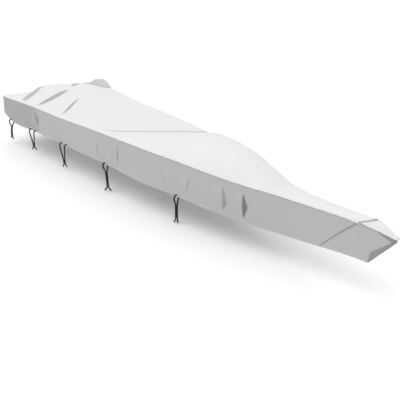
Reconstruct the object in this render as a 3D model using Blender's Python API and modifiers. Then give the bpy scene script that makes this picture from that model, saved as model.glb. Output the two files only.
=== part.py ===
"""Fitted cover for a slim motor boat, in the shape in which it hangs on the hull.

Metres, +Z up. +X runs to the bow, starboard is -Y. The hull itself is left out, so the cover is
hollow: the origin is the point under the top cloth that the boat holds up, on the centreline,
HOLD_X forward of the transom.

Pieces: a pale top with a gusset at the port quarter and a cap at the bow, a grey skirt in five
lengths, a dark binding on the stem with a tapered trim on each side of it, eyelets in the hem and
black ties with a sleeve that gathers their two legs.
"""

import math

import bmesh
import bpy
import numpy as np

# ---------------------------------------------------------------- driving sizes
LENGTH = 5.0          # transom to stem, along the gunwale
HOLD_X = 2.0          # the held point, forward of the transom
CLOTH = 0.002         # thickness of the woven cloth
SEAM_GAP = 0.0004     # between two sewn pieces
EDGE_GAP = 0.0007     # between the top cloth's inner face and the skirt
HEM_FLARE = 0.03      # outward run of the skirt for each metre that it falls
STEM_RUN = 0.58       # the skirt's end rakes aft this far for each metre that it falls
CORNER_RUN = 0.028    # how far the hem stands aft of the gunwale at the transom
BOW_SEAM_X = 4.732    # where the bow seam crosses the gunwale
BOW_SEAM_TOP = 0.100  # how much further forward it is on the centreline
BOW_SEAM_AFT = 0.147  # how much further aft it is at the hem

# What the top lies over, station by station. x is from the transom, edge is the gunwale's height
# over the datum, crown the top's rise in the middle and power its roundness, drop the skirt's fall.
STATION_COLUMNS = ("x", "half_beam", "edge", "crown", "power", "drop")
STATIONS = (
    (0.00, 0.690, 0.014, 0.000, 2.2, 0.225),
    (0.12, 0.679, 0.012, 0.010, 2.2, 0.285),
    (0.30, 0.662, 0.020, 0.022, 2.2, 0.318),
    (0.75, 0.614, 0.026, 0.035, 2.2, 0.316),
    (1.25, 0.560, 0.018, 0.042, 2.2, 0.316),
    (2.00, 0.491, 0.034, 0.036, 2.2, 0.332),
    (2.50, 0.440, 0.036, 0.022, 2.2, 0.350),
    (2.75, 0.408, 0.033, 0.080, 2.6, 0.354),
    (3.05, 0.356, 0.028, 0.168, 2.6, 0.356),
    (3.35, 0.300, 0.016, 0.200, 2.4, 0.353),
    (3.60, 0.246, 0.005, 0.192, 2.3, 0.348),
    (3.85, 0.181, -0.003, 0.128, 2.1, 0.347),
    (4.10, 0.114, -0.005, 0.042, 2.0, 0.346),
    (4.40, 0.075, 0.006, 0.026, 2.0, 0.337),
    (4.65, 0.052, 0.018, 0.038, 2.0, 0.320),
    (4.85, 0.030, 0.009, 0.060, 2.0, 0.295),
    (5.00, 0.014, -0.010, 0.020, 2.0, 0.270),
)

# The low tent over the stern: its ridge runs from the transom to the starboard gunwale.
TENT_RISE = 0.066
TENT_AFT = (0.00, -0.172)      # x, y of the ridge at the transom
TENT_SIDE = (0.50, -0.645)     # x, y of the ridge at the gunwale
TENT_FADE = 0.75               # length over which it dies out forward
TENT_STEP = 0.05               # half width of the step beside the ridge

# The lump at the port quarter, which the gusset covers.
LUMP_X, LUMP_LONG, LUMP_WIDE, LUMP_RISE = 0.255, 0.245, 0.16, 0.085
# The gusset's inner edge, from its aft corner: station, share of the half beam.
GUSSET_COLUMNS = ("x", "v")
GUSSET = ((0.020, 0.700), (0.180, 0.765), (0.340, 0.797), (0.420, 0.838), (0.465, 0.888), (0.500, 0.955))
GUSSET_END = 0.80      # where that line across the boat goes on, past the gusset

# The valley in front of the windscreen slants across the boat: its x at five places across.
VALLEY_COLUMNS = ("v", "x")
VALLEY = ((-1.0, 2.00), (-0.5, 2.26), (0.0, 2.47), (0.5, 2.61), (1.0, 2.73))
VALLEY_X, VALLEY_REACH = 2.47, 0.75

# Soft bellies of the skirt between its ties: centre, half length, how far the hem stands out.
BELLY_COLUMNS = ("x", "half", "out")
BELLIES = (
    (0.42, 0.24, 0.010),
    (1.02, 0.28, 0.012),
    (1.72, 0.34, 0.012),
    (2.60, 0.42, 0.014),
    (3.45, 0.25, 0.010),
    (4.05, 0.30, 0.008),
)

# Ties. x_a and x_b are the eyelets' stations (the same where one eyelet holds both legs), fall is
# the sleeve's drop under them and lean its shift forward. twist turns the two legs' row inward
# from the hem's line, and each free end is so long and splays at so many degrees.
TIE_COLUMNS = ("name", "x_a", "x_b", "fall", "lean", "twist", "end_a", "end_b", "splay_a", "splay_b")
TIES = (
    ("1", 0.167, 0.167, 0.236, -0.072, 20.0, 0.042, 0.052, 34.0, 6.0),
    ("2", 0.640, 0.742, 0.224, -0.042, 30.0, 0.052, 0.052, 38.0, 38.0),
    ("3", 1.290, 1.386, 0.250, -0.028, 30.0, 0.050, 0.050, 30.0, 36.0),
    ("4", 2.100, 2.100, 0.266, 0.022, 30.0, 0.062, 0.058, 36.0, 48.0),
    ("5", 3.113, 3.113, 0.246, 0.006, 30.0, 0.046, 0.042, 24.0, 10.0),
)
EYELET_UP = 0.021      # the eyelet's centre over the hem's edge
EYELET_IN, EYELET_OUT, EYELET_BARREL = 0.0090, 0.0155, 0.0104
EYELET_FLANGE = 0.0012
EYELET_CLEAR = 0.0004
CORD = 0.015           # the cord's diameter
CORD_BEND = 0.0305     # the tightest bend of its centreline
CORD_LOW = 0.0010      # it rests this far under the eyelet's centre
CORD_MEET = 0.085      # two legs of one eyelet lie together this far under their bends

# A leg that has an eyelet to itself ends in a knot behind the cloth.
KNOT_COLUMNS = ("back", "swell")
KNOT = ((0.0200, 0.75), (0.0165, 1.45), (0.0090, 1.45), (0.0050, 1.0), (-0.0020, 1.0))
LEG_APART = CORD + 0.0008
SLEEVE_HIGH, SLEEVE_WALL = 0.011, 0.0024

BINDING = 0.0016       # thickness of the stem's binding
# The binding's width on each side of the stem: it widens to a scuff patch near the foot.
BINDING_COLUMNS = ("w", "wide")
BINDING_WIDTH = (
    (0.04, 0.010),
    (0.12, 0.010),
    (0.20, 0.013),
    (0.30, 0.019),
    (0.40, 0.027),
    (0.50, 0.036),
    (0.58, 0.043),
    (0.64, 0.046),
    (0.72, 0.042),
    (0.81, 0.029),
    (0.90, 0.014),
    (0.98, 0.008),
)
BINDING_NOSE = (0.0140, 0.0030)    # how far its fold stands forward of the stem, at the top and the foot
TRIM_LONG, TRIM_HIGH = 0.118, 0.019

COLOURS = {
    "top_cloth": ((0.84, 0.83, 0.85, 1.0), 0.80, 0.0),
    "skirt_cloth": ((0.47, 0.47, 0.47, 1.0), 0.82, 0.0),
    "gusset_cloth": ((0.60, 0.60, 0.60, 1.0), 0.82, 0.0),
    "binding": ((0.28, 0.28, 0.28, 1.0), 0.75, 0.0),
    "eyelet_metal": ((0.85, 0.84, 0.83, 1.0), 0.35, 0.7),
    "tie_cord": ((0.015, 0.016, 0.018, 1.0), 0.70, 0.0),
    "sleeve_plastic": ((0.80, 0.80, 0.79, 1.0), 0.45, 0.0),
}


# ---------------------------------------------------------------- curves through the tables
def through(xk, yk, x):
    """A smooth curve through the table's points that never overshoots them."""
    xk, yk = np.asarray(xk, float), np.asarray(yk, float)
    h = np.diff(xk)
    d = np.diff(yk) / h
    m = np.zeros(len(xk))
    for i in range(1, len(xk) - 1):
        if d[i - 1] * d[i] > 0:
            w1, w2 = 2 * h[i] + h[i - 1], h[i] + 2 * h[i - 1]
            m[i] = (w1 + w2) / (w1 / d[i - 1] + w2 / d[i])
    m[0], m[-1] = d[0], d[-1]
    x = np.clip(np.asarray(x, float), xk[0], xk[-1])
    i = np.clip(np.searchsorted(xk, x, side="right") - 1, 0, len(xk) - 2)
    t = (x - xk[i]) / h[i]
    return (
        (1 + 2 * t) * (1 - t) ** 2 * yk[i]
        + t * (1 - t) ** 2 * h[i] * m[i]
        + t * t * (3 - 2 * t) * yk[i + 1]
        + t * t * (t - 1) * h[i] * m[i + 1]
    )


def station(name, x):
    k = STATION_COLUMNS.index(name)
    return through([r[0] for r in STATIONS], [r[k] for r in STATIONS], x)


def ease(a, b, x):
    t = np.clip((np.asarray(x, float) - a) / (b - a), 0.0, 1.0)
    return t * t * (3 - 2 * t)


# ---------------------------------------------------------------- the cloth's shape
def lump(x, inset):
    """The rise over the lump, where inset is the distance in from the port gunwale."""
    r2 = ((x - LUMP_X) / LUMP_LONG) ** 2 + (inset / LUMP_WIDE) ** 2
    return LUMP_RISE * np.clip(1.0 - r2, 0.0, None)


def tent(x, v, y):
    ax, ay = TENT_AFT
    bx, by = TENT_SIDE
    nx, ny = by - ay, -(bx - ax)
    n = math.hypot(nx, ny)
    past = -((x - ax) * nx + (y - ay) * ny) / n
    side = np.clip((1 - v) / 1.2, 0, 1) * np.clip((1 + v) / 0.6, 0, 1)
    return TENT_RISE * ease(-TENT_STEP, TENT_STEP, past) * side * np.exp(-((x / TENT_FADE) ** 2))


def top_height(x, v):
    """Height of the top's outer face over the datum, at station x and share v of the half beam."""
    x, v = np.asarray(x, float), np.asarray(v, float)
    half = station("half_beam", x)
    y = v * half
    slant = through([r[0] for r in VALLEY], [r[1] for r in VALLEY], v) - VALLEY_X
    near = np.clip(1 - ((x - VALLEY_X) / VALLEY_REACH) ** 2, 0, 1) ** 2
    xw = x - slant * near
    crown = station("crown", xw) * (1 - np.abs(v) ** station("power", xw))
    return station("edge", x) + crown + tent(x, v, y) + lump(x, half - y)


HOLD_Z = float(top_height(HOLD_X, 0.0)) - CLOTH


def top_point(x, v, up=0.0):
    x, v = np.asarray(x, float), np.asarray(v, float)
    return np.stack([x - HOLD_X, v * station("half_beam", x), top_height(x, v) + up - HOLD_Z], -1)


def belly(x, w):
    out = 0.0
    for bx, half, far in BELLIES:
        out = out + far * np.clip(1 - ((x - bx) / half) ** 2, 0, 1) ** 2
    return out * w**1.5


def edge_drop(x, v):
    """How far the skirt starts under the top's outer face, which slopes along the edge."""
    step = 0.01
    slope = (top_height(np.asarray(x) + step, v) - top_height(np.asarray(x) - step, v)) / (2 * step)
    return CLOTH * np.sqrt(1 + slope**2) + EDGE_GAP


def corner_run(x):
    """How far the skirt's hem stands aft of its gunwale near the transom."""
    return CORNER_RUN * (1 - ease(0.0, 0.60, x))


def skirt_point(x, w, side, out=0.0):
    """A point of the side skirt's outer face: w runs from 0 at the gunwale to 1 at the hem."""
    x, w = np.asarray(x, float), np.asarray(w, float)
    t = x / LENGTH
    drop = station("drop", x)
    v = side * np.ones_like(x)
    upper = top_height(x, v) - edge_drop(x, v)
    lower = station("edge", x) - drop
    half = station("half_beam", x) + HEM_FLARE * drop * w * (1 - t**4) + belly(x, w) + out
    aft = STEM_RUN * drop * w * t**6 + corner_run(x) * w
    return np.stack([x - aft - HOLD_X, side * half, upper + (lower - upper) * w - HOLD_Z], -1)


def transom_point(v, w, aft=0.0):
    v, w = np.asarray(v, float), np.asarray(w, float)
    half = float(station("half_beam", 0.0))
    slope = (top_height(np.zeros_like(v), v + 0.01) - top_height(np.zeros_like(v), v - 0.01)) / (0.02 * half)
    upper = top_height(np.zeros_like(v), v) - CLOTH * np.sqrt(1 + slope**2) - EDGE_GAP
    corner = float(station("edge", 0.0) - station("drop", 0.0))
    lower = corner - 0.055 * (1 - v**4)
    flare = HEM_FLARE * (upper - lower) * w + 0.012 * w**1.5 * (1 - v**2)
    return np.stack([-flare - aft - CORNER_RUN * w - HOLD_X, v * half, upper + (lower - upper) * w - HOLD_Z], -1)


# ---------------------------------------------------------------- scene helpers
for old in list(bpy.data.objects):
    bpy.data.objects.remove(old, do_unlink=True)

cover = bpy.data.collections.new("boat_cover")
cutters = bpy.data.collections.new("cutters")
bpy.context.scene.collection.children.link(cover)
bpy.context.scene.collection.children.link(cutters)
cutters.hide_render = True

materials = {}
for slot, (colour, roughness, metallic) in COLOURS.items():
    m = bpy.data.materials.new(slot)
    m.use_nodes = True
    shader = m.node_tree.nodes["Principled BSDF"]
    shader.inputs["Base Color"].default_value = colour
    shader.inputs["Roughness"].default_value = roughness
    shader.inputs["Metallic"].default_value = metallic
    m.diffuse_color = colour
    materials[slot] = m


def place(name, data, slot, collection=cover):
    obj = bpy.data.objects.new(name, data)
    collection.objects.link(obj)
    if slot:
        data.materials.append(materials[slot])
    return obj


def grid_mesh(name, points, flip=False, keep=None):
    """An open sheet through a grid of points; keep says which of its cells are cloth."""
    rows, cols = points.shape[:2]
    bm = bmesh.new()
    used = {}

    def vert(i, j):
        if (i, j) not in used:
            used[(i, j)] = bm.verts.new(points[i, j])
        return used[(i, j)]

    for i in range(rows - 1):
        for j in range(cols - 1):
            if keep is not None and not keep(i, j):
                continue
            ring = [vert(i, j), vert(i + 1, j), vert(i + 1, j + 1), vert(i, j + 1)]
            bm.faces.new(ring[::-1] if flip else ring)
    mesh = bpy.data.meshes.new(name)
    bm.to_mesh(mesh)
    bm.free()
    return mesh


def thicken(obj, thickness, offset=-1.0):
    """Cloth: the sheet is the outer face and the thickness goes inward."""
    shell = obj.modifiers.new("cloth", "SOLIDIFY")
    shell.thickness = thickness
    shell.offset = offset
    shell.use_even_offset = False
    shell.use_rim = True
    return obj


def smooth(mesh, angle=35):
    mesh.shade_smooth()
    mesh.set_sharp_from_angle(angle=math.radians(angle))
    return mesh


# ---------------------------------------------------------------- top cloth, gusset and bow cap
def spread(a, b, step):
    return list(np.linspace(a, b, max(2, int(round((b - a) / step)) + 1)))


# the sheet's own lines keep clear of the eyelets
BREAKS = (GUSSET[-1][0], 0.69, 1.338, 2.04, 3.05, BOW_SEAM_X)
top_stations = (
    spread(0.0, GUSSET[0][0], 0.02)[:-1]
    + spread(GUSSET[0][0], GUSSET[-1][0], 0.06)[:-1]
    + [x for a, b in zip(BREAKS, BREAKS[1:]) for x in spread(a, b, 0.13)[:-1]]
    + [BOW_SEAM_X]
)
FIRST_GUSSET = 1
LAST_GUSSET = FIRST_GUSSET + len(spread(GUSSET[0][0], GUSSET[-1][0], 0.06)) - 1
across = [-1.0, -0.93, -0.80, -0.62, -0.42, -0.20, 0.02, 0.24, 0.45, 0.64, 0.80, 0.91, 1.0]
SPLIT = across.index(0.80)


def gusset_edge(x):
    """Where the gusset's inner edge lies across the boat."""
    edge = float(through([r[0] for r in GUSSET], [r[1] for r in GUSSET], x))
    return edge + (GUSSET_END - edge) * float(ease(GUSSET[-1][0], 1.3, x))


def across_at(x):
    """The sheet's lines across the boat, drawn to the gusset's edge near the stern."""
    edge = gusset_edge(x)
    split = across[SPLIT]
    return np.array(
        [
            -1 + (v + 1) * (edge + 1) / (split + 1) if v <= split else edge + (v - split) * (1 - edge) / (1 - split)
            for v in across
        ]
    )


def seam_station(v):
    return BOW_SEAM_X + BOW_SEAM_TOP * (1 - np.abs(v) ** 2)


def top_grid():
    points = []
    for x in top_stations:
        v = across_at(x)
        # the last stations bend forward to follow the bow seam
        bend = ease(BOW_SEAM_X - 0.45, BOW_SEAM_X, x)
        xs = x + (seam_station(v) - BOW_SEAM_X) * bend
        points.append(top_point(xs, v))
    return np.array(points)


grid = top_grid()


def in_gusset(i, j):
    return FIRST_GUSSET <= i < LAST_GUSSET and j >= SPLIT


top = place(
    "top_panel",
    smooth(grid_mesh("top_panel", grid, keep=lambda i, j: not in_gusset(i, j))),
    "top_cloth",
)
thicken(top, CLOTH)

# The gusset is the same sheet's corner, drawn in by the seam gap on its three sewn sides.
corner = grid[FIRST_GUSSET : LAST_GUSSET + 1, SPLIT:].copy()
inner = corner.copy()
inner[:, 0] += (corner[:, 1] - corner[:, 0]) * (SEAM_GAP / np.linalg.norm(corner[:, 1] - corner[:, 0], axis=1))[:, None]
inner[0] += (inner[1] - inner[0]) * (SEAM_GAP / np.linalg.norm(inner[1] - inner[0], axis=1))[:, None]
inner[-1] += (inner[-2] - inner[-1]) * (SEAM_GAP / np.linalg.norm(inner[-2] - inner[-1], axis=1))[:, None]
gusset = place("quarter_gusset", smooth(grid_mesh("quarter_gusset", inner)), "gusset_cloth")
thicken(gusset, CLOTH)


def cap_grid():
    points = []
    lines = across_at(BOW_SEAM_X)
    for s in (0.0, 0.22, 0.45, 0.65, 0.82, 1.0):
        start = seam_station(lines) + 4 * SEAM_GAP
        points.append(top_point(start + (LENGTH - start) * s, lines))
    return np.array(points)


cap = place("bow_cap", smooth(grid_mesh("bow_cap", cap_grid())), "top_cloth")
thicken(cap, CLOTH)


# ---------------------------------------------------------------- skirt
def bow_seam(w):
    """Station of the bow seam at share w of the skirt's fall."""
    return BOW_SEAM_X - BOW_SEAM_AFT * w


FALL = np.array([0.0, 0.3, 0.62, 0.86, 1.0])
START_X = 0.0032      # the side skirt starts clear of the transom's cloth


def skirt_mesh(name, side):
    """On the top's own stations, with the last of them bent aft to follow the bow seam."""
    points = []
    for x in top_stations:
        bend = float(ease(BOW_SEAM_X - 0.9, BOW_SEAM_X, x))
        xs = np.maximum(x, START_X) + (bow_seam(FALL) - BOW_SEAM_X) * bend
        points.append(skirt_point(xs, FALL, side))
    return smooth(grid_mesh(name, np.array(points), flip=side < 0))


def bow_skirt_mesh(name, side):
    points = []
    for s in (0.0, 0.16, 0.32, 0.48, 0.64, 0.8, 0.9, 1.0):
        start = bow_seam(FALL) + SEAM_GAP
        x = start + (LENGTH - start) * s
        points.append(skirt_point(x, FALL, side))
    return smooth(grid_mesh(name, np.array(points), flip=side < 0))


def eyelet_frame(x, side):
    """Centre of an eyelet in the cloth's mid layer, with its outward, forward and down axes.

    The sheet is flat between its lines, so the eyelet is placed on the cell that it falls in.
    """
    i = int(np.searchsorted(top_stations, x)) - 1
    x_i, x_j, w_i, w_j = top_stations[i], top_stations[i + 1], FALL[-2], FALL[-1]
    rows = np.array([[skirt_point(k, w, side) for w in (w_i, w_j)] for k in (x_i, x_j)])
    u = (x - x_i) / (x_j - x_i)
    v = (1 - EYELET_UP / float(station("drop", x)) - w_i) / (w_j - w_i)
    here = (1 - u) * ((1 - v) * rows[0, 0] + v * rows[0, 1]) + u * ((1 - v) * rows[1, 0] + v * rows[1, 1])
    ahead = (1 - v) * (rows[1, 0] - rows[0, 0]) + v * (rows[1, 1] - rows[0, 1])
    down = (1 - u) * (rows[0, 1] - rows[0, 0]) + u * (rows[1, 1] - rows[1, 0])
    ahead /= np.linalg.norm(ahead)
    down -= ahead * (down @ ahead)
    down /= np.linalg.norm(down)
    out = np.cross(down, ahead)
    if out[1] * side < 0:
        out = -out
    return here - out * CLOTH / 2, out, ahead, down


def oriented(mesh, centre, out, ahead, down):
    """The mesh's Z axis is turned to out, its X axis to ahead."""
    up = np.cross(out, ahead)
    m = np.column_stack([ahead, up, out])
    for v in mesh.vertices:
        v.co = m @ np.array(v.co) + centre
    return mesh


def eyelet_stations(tie):
    x_a, x_b = tie[1], tie[2]
    return [("a", x_a)] if x_a == x_b else [("a", x_a), ("b", x_b)]


def hole_cutter(name, side):
    bm = bmesh.new()
    for tie in TIES:
        for _, x in eyelet_stations(tie):
            centre, out, ahead, down = eyelet_frame(x, side)
            made = bmesh.ops.create_cone(
                bm, cap_ends=True, segments=12,
                radius1=EYELET_BARREL + EYELET_CLEAR, radius2=EYELET_BARREL + EYELET_CLEAR, depth=0.03,
            )
            m = np.column_stack([ahead, np.cross(out, ahead), out])
            for v in made["verts"]:
                v.co = m @ np.array(v.co) + centre
    bmesh.ops.recalc_face_normals(bm, faces=bm.faces)
    mesh = bpy.data.meshes.new(name)
    bm.to_mesh(mesh)
    bm.free()
    cutter = place(name, mesh, None, cutters)
    cutter.hide_render = True
    cutter.display_type = "WIRE"
    return cutter


for side, word in ((-1, "starboard"), (1, "port")):
    panel = place(f"skirt_{word}", skirt_mesh(f"skirt_{word}", side), "skirt_cloth")
    thicken(panel, CLOTH)
    holes = panel.modifiers.new("eyelet_holes", "BOOLEAN")
    holes.operation = "DIFFERENCE"
    holes.object = hole_cutter(f"eyelet_cutter_{word}", side)
    bow = place(f"bow_skirt_{word}", bow_skirt_mesh(f"bow_skirt_{word}", side), "skirt_cloth")
    thicken(bow, CLOTH)

transom_rows = np.array([[transom_point(v, w) for w in FALL] for v in across_at(0.0)])
transom = place("skirt_transom", smooth(grid_mesh("skirt_transom", transom_rows)), "skirt_cloth")
thicken(transom, CLOTH)


# ---------------------------------------------------------------- stem binding and trims
def binding_mesh():
    """A strip folded round the stem: starboard leg, blunt nose, port leg."""
    off = 2 * SEAM_GAP
    rows = []
    for w, wide in BINDING_WIDTH:
        row = []
        for side, shares in ((-1, (1.0, 0.5, 0.0)), (1, (0.0, 0.5, 1.0))):
            for share in shares:
                x = LENGTH - wide * share
                p = skirt_point(x, w, side, out=off)
                if share == 0.0:
                    p[0] += off
                row.append(p)
        nose = (row[2] + row[3]) / 2
        nose[0] += BINDING_NOSE[0] + (BINDING_NOSE[1] - BINDING_NOSE[0]) * w
        row.insert(3, nose)
        rows.append(row)
    return smooth(grid_mesh("stem_binding", np.array(rows)), 60)


binding = place("stem_binding", binding_mesh(), "binding")
thicken(binding, BINDING, offset=1.0)


def trim_mesh(name, side):
    """A tapered strip under the gunwale, from the binding aft."""
    rows = []
    end = LENGTH - BINDING_WIDTH[0][1] - 0.005
    for s in (0.0, 0.33, 0.66, 1.0):
        x = end - TRIM_LONG * (1 - s)
        high = 0.003 + (TRIM_HIGH - 0.003) * s
        drop = float(station("drop", x))
        rows.append([skirt_point(x, high * k / drop, side, out=2 * SEAM_GAP) for k in (0.0, 1.0)])
    return smooth(grid_mesh(name, np.array(rows), flip=side < 0), 60)


for side, word in ((-1, "starboard"), (1, "port")):
    trim = place(f"bow_trim_{word}", trim_mesh(f"bow_trim_{word}", side), "binding")
    thicken(trim, BINDING, offset=1.0)


# ---------------------------------------------------------------- eyelets
def ring_object(name, profile, segments, slot):
    """A closed outline turned about Z. The outline runs counter-clockwise in (radius, height)."""
    mesh = bpy.data.meshes.new(name)
    n = len(profile)
    mesh.from_pydata(
        [(r, 0.0, z) for r, z in profile], [(i, (i + 1) % n) for i in range(n)], []
    )
    obj = place(name, mesh, slot)
    turn = obj.modifiers.new("turn", "SCREW")
    turn.axis = "Z"
    turn.angle = 2 * math.pi
    turn.steps = turn.render_steps = segments
    turn.use_merge_vertices = True
    turn.merge_threshold = 0.00005
    turn.use_smooth_shade = True
    turn.use_normal_calculate = True
    return obj


def baked(obj):
    """The object's evaluated mesh as its own, with its faces turned outward."""
    graph = bpy.context.evaluated_depsgraph_get()
    mesh = bpy.data.meshes.new_from_object(obj.evaluated_get(graph))
    old = obj.data
    obj.modifiers.clear()
    obj.data = mesh
    bpy.data.meshes.remove(old)
    bm = bmesh.new()
    bm.from_mesh(mesh)
    bmesh.ops.remove_doubles(bm, verts=bm.verts, dist=0.00002)
    bmesh.ops.recalc_face_normals(bm, faces=bm.faces)
    bm.to_mesh(mesh)
    bm.free()
    return obj


half_cloth = CLOTH / 2
near_face = half_cloth + EYELET_CLEAR
far_face = near_face + EYELET_FLANGE
EYELET_PROFILE = (
    (EYELET_IN, -far_face), (EYELET_OUT, -far_face), (EYELET_OUT, -near_face),
    (EYELET_BARREL, -near_face), (EYELET_BARREL, near_face), (EYELET_OUT, near_face),
    (EYELET_OUT, far_face), (EYELET_IN, far_face),
)

for side, word in ((-1, "starboard"), (1, "port")):
    for tie in TIES:
        for letter, x in eyelet_stations(tie):
            eyelet = ring_object(f"eyelet_{word}_{tie[0]}{letter}", EYELET_PROFILE, 12, "eyelet_metal")
            baked(eyelet)
            oriented(eyelet.data, *eyelet_frame(x, side))
            smooth(eyelet.data)


# ---------------------------------------------------------------- ties
class Route:
    """A centreline made of arcs and straights, each starting where the last one ends."""

    def __init__(self, start, direction):
        self.points = [np.array(start, float)]
        self.direction = np.array(direction, float) / np.linalg.norm(direction)

    def turn(self, toward, radius, angle, steps):
        d = self.direction
        n = toward - d * (toward @ d)
        n = n / np.linalg.norm(n)
        start = self.points[-1]
        for k in range(1, steps + 1):
            a = angle * k / steps
            self.points.append(start + d * radius * math.sin(a) + n * radius * (1 - math.cos(a)))
        self.direction = d * math.cos(angle) + n * math.sin(angle)

    def straight(self, length):
        self.points.append(self.points[-1] + self.direction * length)


DOWN = np.array([0.0, 0.0, -1.0])
LEVEL = np.array([1.0, 1.0, 0.0])


def sleeve_place(tie, side):
    """Centre of a tie's sleeve and the direction of its two legs' row."""
    name, x_a, x_b, fall, lean, twist = tie[:6]
    c_a, out, ahead, _ = eyelet_frame(x_a, side)
    c_b = eyelet_frame(x_b, side)[0]
    stand = 0.010 if x_a != x_b else 0.002
    centre = (c_a + c_b) / 2 + out * stand + np.array([lean, 0, -fall])
    angle = math.radians(twist)
    row = np.array([math.cos(angle), -side * math.sin(angle), 0.0])
    return centre, row


def leg_route(x, side, outside, single, through_at, aim, end, splay):
    """Out of the eyelet and down over its rim, through the sleeve, to the free end.

    aim is the direction from the sleeve's centre to this leg, and of its splayed end.
    """
    beside = aim * LEG_APART / 2
    centre, out, ahead, down = eyelet_frame(x, side)
    away = out if outside else -out
    middle = centre + down * CORD_LOW
    if single:
        route = Route(middle + away * SEAM_GAP / 2, away)
        route.straight(0.002)
    else:
        route = Route(middle - away * KNOT[0][0], away)
        for back, _ in KNOT[1:]:
            route.points.append(middle - away * back)
    route.turn(DOWN, CORD_BEND, math.acos(float(away @ DOWN)), 5)
    knee = route.points[-1]
    above = through_at - DOWN * (SLEEVE_HIGH / 2 + 0.010)
    across_by, fall = above - knee, float((above - knee) @ DOWN)
    across_by = across_by - DOWN * fall
    if single:
        for t in (0.25, 0.50, 0.75, 1.0):
            f = t * t * (3 - 2 * t)
            drawn_in = beside - (knee - centre) * LEVEL
            drift = across_by - drawn_in
            route.points.append(knee + drawn_in * f + drift * (CORD_MEET * t / fall) + DOWN * CORD_MEET * t)
        route.points.append(above)
    else:
        for t in (0.22, 0.44, 0.70, 1.0):
            f = 0.5 * t + 0.5 * t * t * (3 - 2 * t)
            route.points.append(knee + across_by * f + DOWN * fall * t)
    route.direction = DOWN
    route.straight(SLEEVE_HIGH + 0.013)
    angle = math.radians(splay)
    route.turn(aim, CORD_BEND, angle, 3)
    route.straight(end - CORD_BEND * angle)
    return route.points


def cord_object(name, points, swell=()):
    curve = bpy.data.curves.new(name, "CURVE")
    curve.dimensions = "3D"
    curve.bevel_depth = CORD / 2
    curve.bevel_resolution = 2
    curve.use_fill_caps = True
    line = curve.splines.new("POLY")
    line.points.add(len(points) - 1)
    for p, co in zip(line.points, points):
        p.co = (*co, 1.0)
    for p, size in zip(line.points, swell):
        p.radius = size
    return place(name, curve, "tie_cord")


def sleeve_object(name, centre, row):
    """A ring turned round one leg, then drawn apart so that it holds both."""
    inner = CORD / 2 + 0.0008
    outer = inner + SLEEVE_WALL
    h = SLEEVE_HIGH / 2
    obj = ring_object(name, ((inner, -h), (outer, -h), (outer, h), (inner, h)), 16, "sleeve_plastic")
    baked(obj)
    quarter = math.pi / 16
    m = np.column_stack([row, np.cross([0, 0, 1.0], row), [0, 0, 1.0]])
    for v in obj.data.vertices:
        x = v.co.x * math.cos(quarter) - v.co.y * math.sin(quarter)
        y = v.co.x * math.sin(quarter) + v.co.y * math.cos(quarter)
        x += math.copysign(LEG_APART / 2, x)
        v.co = m @ np.array([x, y, v.co.z]) + centre
    smooth(obj.data)
    return obj


for side, word in ((-1, "starboard"), (1, "port")):
    for tie in TIES:
        name, x_a, x_b, fall, lean, twist, end_a, end_b, splay_a, splay_b = tie
        centre, row = sleeve_place(tie, side)
        legs = (("a", x_a, -1, end_a, splay_a), ("b", x_b, 1, end_b, splay_b))
        single = x_a == x_b
        for letter, x, sign, end, splay in legs:
            outside = letter == "a" or not single
            through_at = centre + row * sign * LEG_APART / 2
            route = leg_route(x, side, outside, single, through_at, row * sign, end, splay)
            swell = () if single else [size for _, size in KNOT]
            cord_object(f"tie_{word}_{name}{letter}", route, swell)
        sleeve_object(f"sleeve_{word}_{name}", centre, row)

bpy.context.view_layer.update()
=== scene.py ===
"""Looks of the fitted cover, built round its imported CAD, in metres and in the CAD's own frame.

+X runs to the bow and starboard is -Y. Stations are counted from the transom, so that station x
lies at x - HOLD_X. The tables and routes down to "the cloth in detail" repeat the CAD's.
"""

import math

import bmesh
import bpy
import numpy as np
from mathutils import Matrix, Vector


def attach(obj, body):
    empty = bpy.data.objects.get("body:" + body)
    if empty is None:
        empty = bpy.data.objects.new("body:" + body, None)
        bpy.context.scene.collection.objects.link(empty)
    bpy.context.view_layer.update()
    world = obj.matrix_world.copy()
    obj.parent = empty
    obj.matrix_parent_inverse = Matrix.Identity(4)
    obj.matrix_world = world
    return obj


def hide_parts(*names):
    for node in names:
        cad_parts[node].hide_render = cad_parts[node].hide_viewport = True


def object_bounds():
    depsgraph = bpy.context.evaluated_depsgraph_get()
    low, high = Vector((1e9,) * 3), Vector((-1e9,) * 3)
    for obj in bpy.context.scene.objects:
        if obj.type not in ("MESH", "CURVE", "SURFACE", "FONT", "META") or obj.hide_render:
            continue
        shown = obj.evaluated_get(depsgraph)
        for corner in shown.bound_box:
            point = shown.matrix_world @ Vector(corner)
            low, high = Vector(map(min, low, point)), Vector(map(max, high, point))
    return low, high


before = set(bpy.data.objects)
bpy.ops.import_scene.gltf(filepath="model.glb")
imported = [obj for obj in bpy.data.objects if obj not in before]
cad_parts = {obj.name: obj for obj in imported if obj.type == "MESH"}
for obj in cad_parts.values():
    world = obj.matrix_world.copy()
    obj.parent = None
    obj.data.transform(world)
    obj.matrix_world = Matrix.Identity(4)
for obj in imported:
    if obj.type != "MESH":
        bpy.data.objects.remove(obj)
cad_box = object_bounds()

# ---------------------------------------------------------------- the CAD's sizes
LENGTH = 5.0
HOLD_X = 2.0
CLOTH = 0.002
SEAM_GAP = 0.0004
EDGE_GAP = 0.0007
HEM_FLARE = 0.03
CORNER_RUN = 0.028
STEM_RUN = 0.58
BOW_SEAM_X = 4.732
BOW_SEAM_TOP = 0.100
BOW_SEAM_AFT = 0.147

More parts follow.
